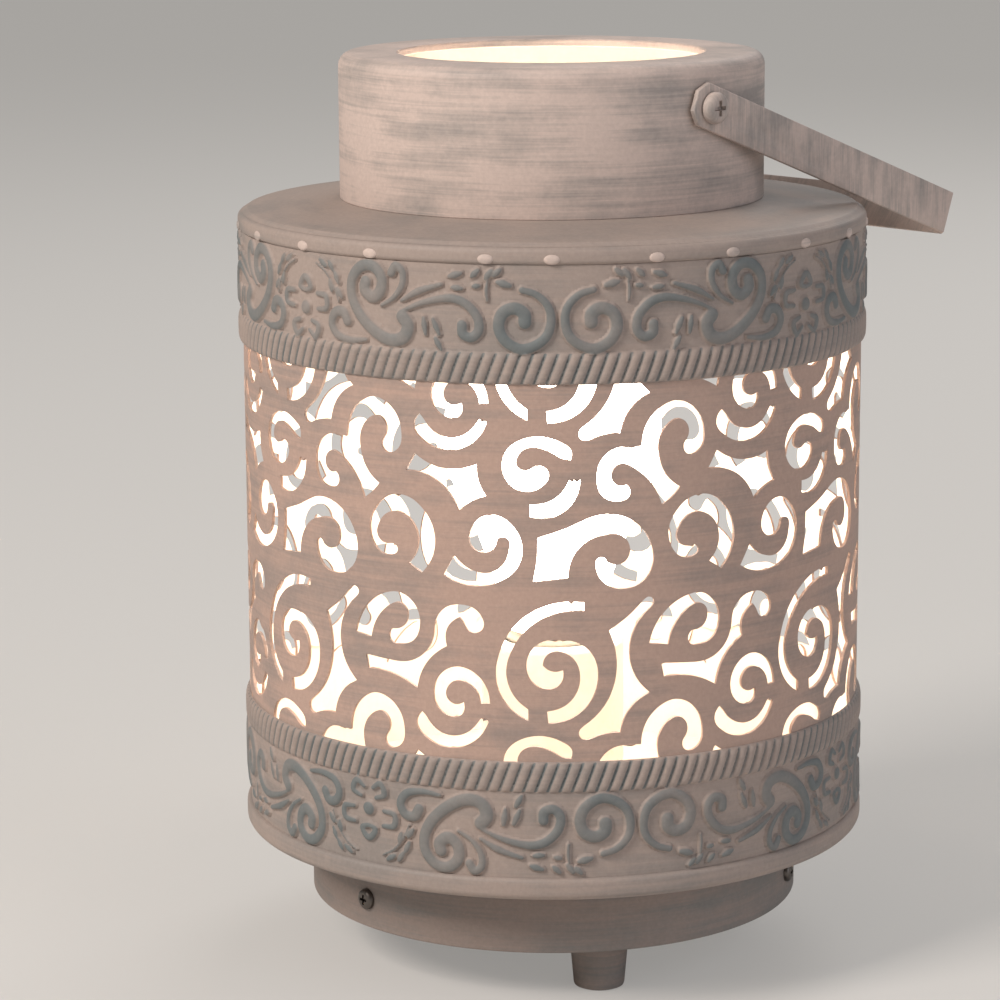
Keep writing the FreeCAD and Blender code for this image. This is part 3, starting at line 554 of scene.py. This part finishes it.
class LanternFinish(bpy.types.PropertyGroup):
    """Colours that a user would change."""
    # The collar's and handle's paint, made paler as painted light: the lit copy of the body's
    # coat.
    paint: colour("Paint", "cdbbb2", "Chalk paint")
    # The body's paint: the collar's coat darkened as painted shade.
    body_paint: colour("Body paint", "a5968e", "Paint of the body")
    # The drum's paint, darker still as painted shade under the body.
    base_paint_and_painted_shade: colour("Base paint", "958780", "Paint of the base drum")
    # The sheet's paint, tinted warm as painted light from the lamp's glow.
    sheet_paint_and_painted_glow: colour("Shade paint", "b99e91", "Paint of the cut sheet")
    wash: colour("Wash", "6f7576", "Wash rubbed over the paint")
    bulb_light: colour("Light", "fff0e0", "Colour of the bulb's light")
    bulb_power: FloatProperty(name="Bulb", description="Strength of the bulb's glow",
                              default=13.5, min=0.0)


class LanternOperator:
    """What every step of the lamp shares."""
    bl_options = {"REGISTER", "UNDO"}


class LANTERN_OT_shade(LanternOperator, bpy.types.Operator):
    """Cut the scroll pattern through a flat sheet and roll it into the shade"""
    bl_idname = "lantern.shade"
    bl_label = "Scroll-cut shade"

    def execute(self, context):
        sizes = context.scene.lantern_sizes
        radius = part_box("grille_shell")[1].x / MM
        half = math.pi * radius
        outline = bpy.data.curves.new("sheet_outline", "CURVE")
        outline.dimensions = "2D"
        outline.fill_mode = "BOTH"
        low, high = SHEET_EDGES
        cuts = [[(-half, low), (half, low), (half, high), (-half, high)]]
        for steps in SCROLLS.values():
            points = scroll_outline(steps)
            for row in (-1, 0, 1):
                tops = [y + row * TILE[1] for x, y in points]
                if max(tops) < WINDOW[0] or min(tops) > WINDOW[1]:
                    continue
                for tile in range(-5, 6):
                    shifted = [(x + tile * TILE[0], y) for (x, _), y in zip(points, tops)]
                    if max(abs(x) for x, y in shifted) < half - 1.5:
                        cuts.append(shifted)
        for points in cuts:
            spline = outline.splines.new("POLY")
            spline.points.add(len(points) - 1)
            for point, (x, y) in zip(spline.points, points):
                point.co = (x, y, 0, 1)
            spline.use_cyclic_u = True
        flat = bpy.data.objects.new("flat_sheet", outline)
        context.scene.collection.objects.link(flat)
        context.view_layer.update()
        mesh = bpy.data.meshes.new_from_object(flat)
        bpy.data.objects.remove(flat)
        bm = bmesh.new()
        bm.from_mesh(mesh)
        bmesh.ops.remove_doubles(bm, verts=bm.verts, dist=1e-4)
        station = -half + 4.0
        while station < half - 1.0:
            bmesh.ops.bisect_plane(bm, geom=bm.verts[:] + bm.edges[:] + bm.faces[:],
                                   plane_co=(station, 0, 0), plane_no=(1, 0, 0), dist=1e-3)
            station += 4.0
        for vert in bm.verts:
            x, y, _ = vert.co
            vert.co = (radius * math.sin(x / radius), -radius * math.cos(x / radius), y)
        bmesh.ops.remove_doubles(bm, verts=bm.verts, dist=1e-3)
        for face in bm.faces:
            centre = face.calc_center_median()
            if face.normal.dot(Vector((centre.x, centre.y, 0))) < 0:
                face.normal_flip()
        bm.normal_update()
        # The sheet's coat carries a warm tint of painted light from the lamp's glow.
        piece = finish_piece(bm, "scroll_shade", "lantern", material("chalk_painted_shade"),
                             ("grille_shell",))
        piece.data.materials.append(material("cream_undercoat"))
        thick = piece.modifiers.new("sheet", "SOLIDIFY")
        thick.thickness = sizes.sheet * MM
        thick.offset = -1.0
        thick.material_offset = 1
        edge = piece.modifiers.new("edge", "BEVEL")
        edge.width = 0.12 * MM
        edge.segments = 1
        edge.limit_method = "ANGLE"
        edge.angle_limit = math.radians(50)
        evened = piece.modifiers.new("even", "WEIGHTED_NORMAL")
        evened.weight = 90
        return {"FINISHED"}


def stroke_heights(columns, rows, circumference, middle, flip, axis):
    """How far the scrollwork stands out at each grid point, 0 to 1: columns are distances
    round the band from the front, rows are heights."""
    heights = np.zeros((len(columns), len(rows)))
    dx, dz = columns[1] - columns[0], rows[1] - rows[0]
    reach = int(math.ceil(circumference / REPEAT / 2)) + 1
    for widths, *points in STROKES:
        path, along = smooth_path(points, 0.3)
        width = np.interp(along, (0, MIDDLE_OF_STROKE, 1), widths)
        for repeat in range(-reach, reach + 1):
            for side in (-1, 1):
                for (u, v), w in zip(path, width):
                    x = axis + repeat * REPEAT + side * u
                    if abs(x) > circumference / 2 - 2:
                        continue
                    z = middle + flip * v
                    r = w * 0.5 + 0.1
                    i0 = max(0, int((x - r - columns[0]) / dx))
                    i1 = min(len(columns), int((x + r - columns[0]) / dx) + 2)
                    j0 = max(0, int((z - r - rows[0]) / dz))
                    j1 = min(len(rows), int((z + r - rows[0]) / dz) + 2)
                    if i0 >= i1 or j0 >= j1:
                        continue
                    d2 = ((columns[i0:i1, None] - x) ** 2 + (rows[None, j0:j1] - z) ** 2) / r ** 2
                    mound = np.clip(1 - d2, 0, 1) ** 0.5 * min(1.0, 0.55 + w / 6)
                    block = heights[i0:i1, j0:j1]
                    np.maximum(block, mound, out=block)
    return heights


def ornament_band(context, name, node, span, rope_middle, ornament, flip):
    """A pressed band: a closed ring of sheet whose outer face carries the relief.  flip is -1
    where the ornament stands on its head."""
    sizes = context.scene.lantern_sizes
    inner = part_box("grille_shell")[1].x / MM + 0.02
    radius = inner + 0.15
    low, high = span
    # The grid has two rows more than the relief: they fold in to the band's inner face.
    around_length = math.tau * radius
    across = int(around_length / sizes.cell)
    up = int((high - low) / sizes.cell)
    bm = bmesh.new()
    bmesh.ops.create_grid(bm, x_segments=across, y_segments=up + 2, size=1)
    mesh = bpy.data.meshes.new("grid")
    bm.to_mesh(mesh)
    bm.free()
    grid = np.empty(len(mesh.vertices) * 3)
    mesh.vertices.foreach_get("co", grid)
    grid = grid.reshape(-1, 3)
    i = np.rint((grid[:, 0] + 1) / 2 * across).astype(int)
    j = np.rint((grid[:, 1] + 1) / 2 * (up + 2)).astype(int)
    columns = -around_length / 2 + np.arange(across + 1) * around_length / across
    rows = low + np.arange(up + 1) * (high - low) / up
    relief = stroke_heights(columns, rows, around_length, ornament[0], flip, ornament[1])
    offset = (rows - rope_middle) / (sizes.rope_width / 2)
    cord = np.sqrt(np.clip(1 - offset ** 4, 0, 1))
    lean = 0.38
    pitch = around_length / round(around_length / sizes.rope_pitch)
    phase = (columns[:, None] - lean * (rows[None, :] - rope_middle)) / pitch
    rib = np.abs(np.sin(math.pi * phase)) ** 0.65
    rope = cord[None, :] * (0.1 + 0.9 * rib)
    rope[:, np.abs(offset) >= 1] = 0
    out = radius + relief * sizes.relief + rope * sizes.rope
    # The wash colour lies on the raised strokes, and the rope is darkened between its ribs.
    wash = np.maximum(relief, np.where(np.abs(offset)[None, :] < 1, (1 - rib) * 1.2, 0))
    out[-1], wash[-1] = out[0], wash[0]
    section = np.clip(j - 1, 0, up)
    r = out[i, section]
    z = rows[section]
    r = np.where((j == 0) | (j == up + 2), inner, r)
    angle = columns[i] / radius
    place = np.c_[r * np.sin(angle), -r * np.cos(angle), z] * MM
    mesh.vertices.foreach_set("co", place.ravel())
    level_of = mesh.attributes.new("relief", "FLOAT", "POINT")
    level_of.data.foreach_set("value", np.where((j == 0) | (j == up + 2), 0, wash[i, section]))
    bm = bmesh.new()
    bm.from_mesh(mesh)
    bpy.data.meshes.remove(mesh)
    bmesh.ops.remove_doubles(bm, verts=bm.verts, dist=1e-6)
    rims = [edge for edge in bm.edges if edge.is_boundary]
    bmesh.ops.bridge_loops(bm, edges=rims)
    bmesh.ops.recalc_face_normals(bm, faces=bm.faces)
    bmesh.ops.scale(bm, vec=(1 / MM,) * 3, verts=bm.verts)
    for face in bm.faces:
        centre = face.calc_center_median()
        face.material_index = int(face.normal.xy.dot(centre.xy) < -0.5 * centre.xy.length)
    # The bands take the body's coat, darkened as painted shade.
    piece = finish_piece(bm, name, "lantern", material("chalk_painted_relief"),
                         (node,))
    piece.data.materials.append(material("cream_undercoat"))
    return piece


class LANTERN_OT_bands(LanternOperator, bpy.types.Operator):
    """Press the two ornament bands with their rope edges"""
    bl_idname = "lantern.bands"
    bl_label = "Ornament bands"

    def execute(self, context):
        rope = context.scene.lantern_sizes.rope_width / 2
        ornament_band(context, "upper_ornament_band", "upper_band", UPPER_BAND,
                      UPPER_BAND[0] + rope, UPPER_ORNAMENT, 1)
        ornament_band(context, "lower_ornament_band", "lower_band", LOWER_BAND,
                      LOWER_BAND[1] - rope, LOWER_ORNAMENT, -1)
        return {"FINISHED"}


class LANTERN_OT_beads(LanternOperator, bpy.types.Operator):
    """Roll the top and the floor of the body over the sheets' edges"""
    bl_idname = "lantern.beads"
    bl_label = "Top, floor and their rolled beads"

    def execute(self, context):
        # The top and the floor take the body's coat, darkened as painted shade.
        paint = material("chalk_painted_body")
        top, edge = level("shoulder_cover", 1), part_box("shoulder_cover")[1].x / MM
        low = level("shoulder_cover", 0)
        skin, bead, wall = SHEET_RADIUS, edge - 0.45, PRESSED_SHEET
        # The top's hole, and the flat ring round it that the collar stands on.
        hole, foot = 50.0, 57.6
        section = [(hole, top - wall), (foot, top - wall), (skin - 0.6, low + 4.0), (skin, low),
                   (bead, low), (bead, low + 4.3), (bead - 1.3, low + 4.5),
                   (bead - 2.6, low + 5.5), (foot, top), (hole, top)]
        bm = spun(rounded(section, (0, 0, 0, 0.2, 1.3, 1.6, 0.9, 1.6, 0, 0)), 256)
        finish_piece(bm, "rolled_shoulder", "lantern", paint,
                     ("shoulder_cover",))
        rivet_level = low + 1.5
        low, high = level("body_floor", 0), level("body_floor", 1)
        section = [(5.0, low), (edge, low), (edge, high), (skin, high), (skin, low + wall),
                   (5.0, low + wall)]
        bm = spun(rounded(section, (0, 2.0, 1.3, 0.2, 0, 0)), 256)
        for face in bm.faces:
            face.material_index = int(face.normal.z > 0.9 and
                                      face.calc_center_median().xy.length < skin)
        piece = finish_piece(bm, "rolled_floor", "lantern", paint,
                             ("body_floor",))
        piece.data.materials.append(material("cream_undercoat"))
        heads = []
        # The heads seen at the front are spaced unevenly, as they were punched; the rest are
        # even.
        angles = list(FRONT_RIVET_ANGLES)
        rest = context.scene.lantern_sizes.rivets - len(angles)
        step = (360 - angles[-1] + angles[0]) / (rest + 1)
        angles += [angles[-1] + step * (i + 1) for i in range(rest)]
        for angle in angles:
            head = bmesh.new()
            bmesh.ops.create_uvsphere(head, u_segments=14, v_segments=8, radius=2.1)
            bmesh.ops.scale(head, vec=(1.0, 0.62, 0.27), verts=head.verts)
            heads.append(turn_to(head, angle, bead - 0.1, rivet_level, outward=True))
        # The rivet heads take the collar's paler coat, a painted highlight on them.
        finish_piece(join(heads), "rivet_heads", "lantern", material("chalk_painted_collar"))
        return {"FINISHED"}


class LANTERN_OT_collar(LanternOperator, bpy.types.Operator):
    """Turn the collar with its rounded rim and rolled mouth"""
    bl_idname = "lantern.collar"
    bl_label = "Collar"

    def execute(self, context):
        low, top = level("neck_collar", 0), level("neck_collar", 1)
        wide, mouth, wall = COLLAR_RADIUS, MOUTH_RADIUS, PRESSED_SHEET
        section = [(wide - wall, low), (wide, low), (wide, top), (mouth, top),
                   (mouth, top - 2.2), (mouth + 0.8, top - 2.2), (mouth + 0.8, top - wall),
                   (wide - wall, top - wall)]
        bm = spun(rounded(section, (0, 0.3, 3.4, 0.7, 0.3, 0.3, 0, 2.6)), 224)
        for face in bm.faces:
            middle = face.calc_center_median()
            inside = middle.xy.length < wide - wall + 0.1 and middle.z < top - 1.6
            face.material_index = int(inside or face.normal.z < -0.9)
        piece = finish_piece(bm, "collar", "lantern", material("chalk_painted_collar"),
                             ("neck_collar",))
        piece.data.materials.append(material("cream_undercoat"))
        return {"FINISHED"}


class LANTERN_OT_base(LanternOperator, bpy.types.Operator):
    """Make the base drum, its side screws and the peg feet"""
    bl_idname = "lantern.base"
    bl_label = "Base drum and feet"

    def execute(self, context):
        # The drum, the feet and the base plate take the darkest coat, painted shade under the
        # body.
        paint = material("chalk_painted_base")
        low, high = level("base_drum", 0), level("base_drum", 1)
        wide, wall = DRUM_RADIUS, 1.0
        section = [(wide - wall, low), (wide, low), (wide, high), (wide - wall, high)]
        bm = spun(rounded(section, (0, 0.6, 0, 0)), 224)
        finish_piece(bm, "drum_wall", "lantern", paint, ("base_drum",))
        feet = []
        for angle in FOOT_ANGLES:
            foot = spun([(0, 0), (5.9, 0), (6.6, 0.3), (6.8, 0.9), (8.0, low), (0, low)], 48,
                        closed=False)
            feet.append(turn_to(foot, angle, FOOT_CIRCLE))
        finish_piece(join(feet), "peg_feet", "lantern", paint, ("feet",))
        screws = [turn_to(pan_screw(2.8, 1.5, 1.6, 4.0), angle, wide, SIDE_SCREW_LEVEL, True)
                  for angle in SIDE_SCREW_ANGLES]
        finish_piece(join(screws), "side_screws", "lantern", material("zinc_plated_steel"))
        refinish("base_plate", "chalk_painted_base")
        return {"FINISHED"}


def pan_screw(head, shank, height, tail):
    """A pan-head screw with a cross recess, its head on z = 0 and its shank down -Z."""
    edge = height * 0.45
    bm = spun([(0, -tail), (shank, -tail), (shank, 0), (head, 0), (head, edge),
               (head * 0.93, height * 0.72), (head * 0.78, height * 0.9),
               (head * 0.55, height), (0, height)], 32, closed=False)
    caps = [face for face in bm.faces if face.calc_center_median().z > height * 0.96]
    wing, arm = head * 0.13, head * 0.5
    for axis in ((1, 0, 0), (0, 1, 0)):
        side = Vector((axis[1], axis[0], 0))
        for point, normal in ((side * wing, side), (side * -wing, side)):
            geom = [g for face in caps if face.is_valid for g in (face, *face.edges, *face.verts)]
            bmesh.ops.bisect_plane(bm, geom=list(set(geom)), plane_co=point,
                                   plane_no=normal, dist=1e-5)
            caps = [f for f in bm.faces if f.calc_center_median().z > height * 0.96]
    for point in ((arm, 0, 0), (-arm, 0, 0), (0, arm, 0), (0, -arm, 0)):
        geom = set(g for face in caps for g in (face, *face.edges, *face.verts))
        bmesh.ops.bisect_plane(bm, geom=list(geom), plane_co=point, plane_no=point, dist=1e-5)
        caps = [f for f in bm.faces if f.calc_center_median().z > height * 0.96]
    cross = []
    for face in caps:
        c = face.calc_center_median()
        if (abs(c.x) < wing and abs(c.y) < arm) or (abs(c.y) < wing and abs(c.x) < arm):
            cross.append(face)
    sunk = bmesh.ops.extrude_face_region(bm, geom=cross)
    down = [g for g in sunk["geom"] if isinstance(g, bmesh.types.BMVert)]
    bmesh.ops.delete(bm, geom=cross, context="FACES_ONLY")
    for vert in down:
        vert.co.z -= height * 0.55
        vert.co.xy *= 0.8
    bmesh.ops.recalc_face_normals(bm, faces=bm.faces)
    return bm


def hex_nut(radius, height):
    """A hexagonal nut with chamfered corners that hangs down from z = 0."""
    nut = bmesh.new()
    bmesh.ops.create_cone(nut, cap_ends=True, segments=6, radius1=radius, radius2=radius,
                          depth=height)
    bmesh.ops.translate(nut, vec=(0, 0, -height / 2), verts=nut.verts)
    bmesh.ops.bevel(nut, geom=nut.edges[:], offset=radius * 0.09, affect="EDGES", segments=2,
                    profile=0.5, material=-1)
    return nut


class LANTERN_OT_handle(LanternOperator, bpy.types.Operator):
    """Round the edges of the strip handle and set its pivot screws and nuts"""
    bl_idname = "lantern.handle"
    bl_label = "Bail handle"

    def execute(self, context):
        handle = NODES["handle"]
        bm = bmesh.new()
        bm.from_mesh(handle.data)
        bmesh.ops.scale(bm, vec=(1 / MM,) * 3, verts=bm.verts)
        bmesh.ops.remove_doubles(bm, verts=bm.verts, dist=1e-3)
        bmesh.ops.dissolve_limit(bm, angle_limit=math.radians(1), verts=bm.verts,
                                 edges=bm.edges)
        sharp = [edge for edge in bm.edges if edge.calc_face_angle(0) > math.radians(60)]
        bmesh.ops.bevel(bm, geom=sharp, offset=0.3, offset_type="OFFSET", affect="EDGES",
                        segments=2, profile=0.5, material=-1)
        finish_piece(bm, "bail_handle", "bail", material("chalk_painted_strip"),
                     ("handle",))
        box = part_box("pivot_screws")
        height = (box[0].z + box[1].z) / 2 / MM
        screws = [turn_to(pan_screw(4.1, 2.0, 2.5, 7.5), angle, PIVOT_HEAD_RADIUS, height, True)
                  for angle in PIVOT_ANGLES]
        finish_piece(join(screws), "pivot_screw_heads", "lantern",
                     material("chalk_painted_strip"), ("pivot_screws",))
        nuts = [turn_to(hex_nut(4.0, 3.0), angle, PIVOT_NUT_RADIUS, height, True)
                for angle in PIVOT_ANGLES]
        nuts.append(turn_to(hex_nut(8.0, 3.4), 0, 0, level("body_floor", 0)))
        finish_piece(join(nuts), "hex_nuts", "lantern", material("zinc_plated_steel"))
        return {"FINISHED"}


class LANTERN_OT_bulb(LanternOperator, bpy.types.Operator):
    """Blow the bulb and turn its cap and the lampholder"""
    bl_idname = "lantern.bulb"
    bl_label = "Bulb and lampholder"

    def execute(self, context):
        low, high = level("bulb_glass", 0), level("bulb_glass", 1)
        ball = 30.0
        centre = high - ball
        profile = [(0, low), (12.6, low), (13.6, low + 1.2), (14.5, low + 4.0),
                   (16.2, low + 14.0), (20.5, low + 26.0)]
        for k in range(15):
            angle = math.radians(-38 + k * 128 / 14)
            profile.append((ball * math.cos(angle) * (k < 14), centre + ball * math.sin(angle)))
        bm = spun(profile, 64, closed=False)
        finish_piece(bm, "frosted_bulb", "lamp_bulb", material("frosted_glass"),
                     ("bulb_glass",))
        low, high = level("bulb_cap", 0), level("bulb_cap", 1)
        profile = [(0, low), (9.0, low), (11.8, low + 1.6)]
        turns, step = 5, 3.6
        for k in range(turns * 6):
            profile.append((12.5 + 0.6 * math.cos(k * math.tau / 6), low + 2.2 + k * step / 6))
        profile += [(13.0, high - 1.5), (13.0, high), (0, high)]
        finish_piece(spun(profile, 48, closed=False), "bulb_thread_cap", "lamp_bulb",
                     material("nickel_plated_brass"), ("bulb_cap",))
        for name, finish in (("bulb_contact", "bare_brass"), ("centre_contact", "bare_brass"),
                             ("threaded_nipple", "nickel_plated_brass"),
                             ("holder_insert", "white_polyamide")):
            refinish(name, finish)
        low, high = level("holder_cap", 0), level("holder_cap", 1)
        section = [(5.0, low), (12.0, low), (19.5, low + 8.0), (19.5, high), (5.0, high)]
        finish_piece(spun(rounded(section, (0, 1.2, 3.0, 0.5, 0)), 64), "holder_lower",
                     "lantern", material("white_polyamide"), ("holder_cap",))
        low, high = level("holder_barrel", 0), level("holder_barrel", 1)
        section = [(13.4, low), (19.5, low), (19.5, high), (13.4, high)]
        finish_piece(spun(rounded(section, (0, 0.8, 1.2, 1.0)), 64), "holder_upper", "lantern",
                     material("white_polyamide"), ("holder_barrel",))
        refinish("cord_bush", "moulded_thermoplastic")
        return {"FINISHED"}


class LANTERN_OT_stage(LanternOperator, bpy.types.Operator):
    """Set the floor, the soft lamps and the camera"""
    bl_idname = "lantern.stage"
    bl_label = "Stage"

    def execute(self, context):
        scene = context.scene
        bm = bmesh.new()
        bmesh.ops.create_grid(bm, x_segments=1, y_segments=1, size=6)
        mesh = bpy.data.meshes.new("floor")
        bm.to_mesh(mesh)
        bm.free()
        floor = bpy.data.objects.new("floor", mesh)
        scene.collection.objects.link(floor)
        mat, tree, out = new_material("matt_floor")
        skin = add_node(tree, "ShaderNodeBsdfPrincipled",
                        {"Base Color": shade("d9d6d2"), "Roughness": 0.9})
        # The camera sees the floor paler than the lamps alone make it.
        pale = add_node(tree, "ShaderNodeEmission", {"Color": shade("d6d3cf")})
        path = add_node(tree, "ShaderNodeLightPath")
        share = add_node(tree, "ShaderNodeMath",
                         {0: path.outputs["Is Camera Ray"], 1: 0.4}, operation="MULTIPLY")
        seen = add_node(tree, "ShaderNodeMixShader",
                        {0: share.outputs[0], 1: skin.outputs[0], 2: pale.outputs[0]})
        tree.links.new(seen.outputs[0], out.inputs["Surface"])
        mesh.materials.append(mat)
        world = bpy.data.worlds.new("studio")
        world.use_nodes = True
        scene.world = world
        back = world.node_tree.nodes["Background"]
        back.inputs["Color"].default_value = shade("d9d6d2")
        back.inputs["Strength"].default_value = 0.36
        for name, place, size, power, tint in (
                ("key", (-1.25, -1.0, 1.35), 0.7, 34.0, "fff6ee"),
                ("fill", (1.4, -0.9, 0.8), 1.4, 7.0, "f2f4ff"),
                ("rim", (0.6, 1.4, 1.4), 1.0, 9.0, "ffffff")):
            lamp = bpy.data.lights.new(name, "AREA")
            lamp.size = size
            lamp.energy = power
            lamp.color = shade(tint)[:3]
            holder = bpy.data.objects.new(name, lamp)
            scene.collection.objects.link(holder)
            holder.location = place
            aim = Vector((0, 0, 0.12)) - Vector(place)
            holder.rotation_euler = aim.to_track_quat("-Z", "Y").to_euler()
        # The camera's place, turn and lens were fitted to the rims' ellipses.
        lens = bpy.data.cameras.new("camera")
        lens.lens = 129.9
        lens.sensor_width = 36.0
        lens.clip_start, lens.clip_end = 0.05, 50.0
        camera = bpy.data.objects.new("camera", lens)
        scene.collection.objects.link(camera)
        camera.location = (0.0, -0.9695, 0.3198)
        pitch, yaw, roll = math.radians(-11.52), math.radians(-0.85), math.radians(-0.33)
        look = Matrix.Rotation(-yaw, 3, "Z") @ Matrix.Rotation(math.pi / 2 + pitch, 3, "X")
        look = look @ Matrix.Rotation(roll, 3, "Z")
        camera.rotation_euler = look.to_euler()
        scene.camera = camera
        scene.view_settings.view_transform = "Standard"
        return {"FINISHED"}


STEPS = (LANTERN_OT_shade, LANTERN_OT_bands, LANTERN_OT_beads, LANTERN_OT_collar,
         LANTERN_OT_base, LANTERN_OT_handle, LANTERN_OT_bulb, LANTERN_OT_stage)


class LANTERN_PT_panel(bpy.types.Panel):
    """The sidebar panel with the sizes, the colours and the steps"""
    bl_idname = "LANTERN_PT_panel"
    bl_label = "Lantern lamp"
    bl_space_type = "VIEW_3D"
    bl_region_type = "UI"
    bl_category = "Lantern"

    def draw(self, context):
        for settings in (context.scene.lantern_sizes, context.scene.lantern_finish):
            for name in settings.__annotations__:
                self.layout.prop(settings, name)
        for step in STEPS:
            self.layout.operator(step.bl_idname)


CLASSES = (LanternSizes, LanternFinish) + STEPS + (LANTERN_PT_panel,)


def register():
    for cls in CLASSES:
        bpy.utils.register_class(cls)
    bpy.types.Scene.lantern_sizes = PointerProperty(type=LanternSizes)
    bpy.types.Scene.lantern_finish = PointerProperty(type=LanternFinish)


def unregister():
    del bpy.types.Scene.lantern_sizes
    del bpy.types.Scene.lantern_finish
    for cls in reversed(CLASSES):
        bpy.utils.unregister_class(cls)


def main():
    register()
    for step in STEPS:
        group, name = step.bl_idname.split(".")
        getattr(getattr(bpy.ops, group), name)()


if __name__ == "__main__":
    main()
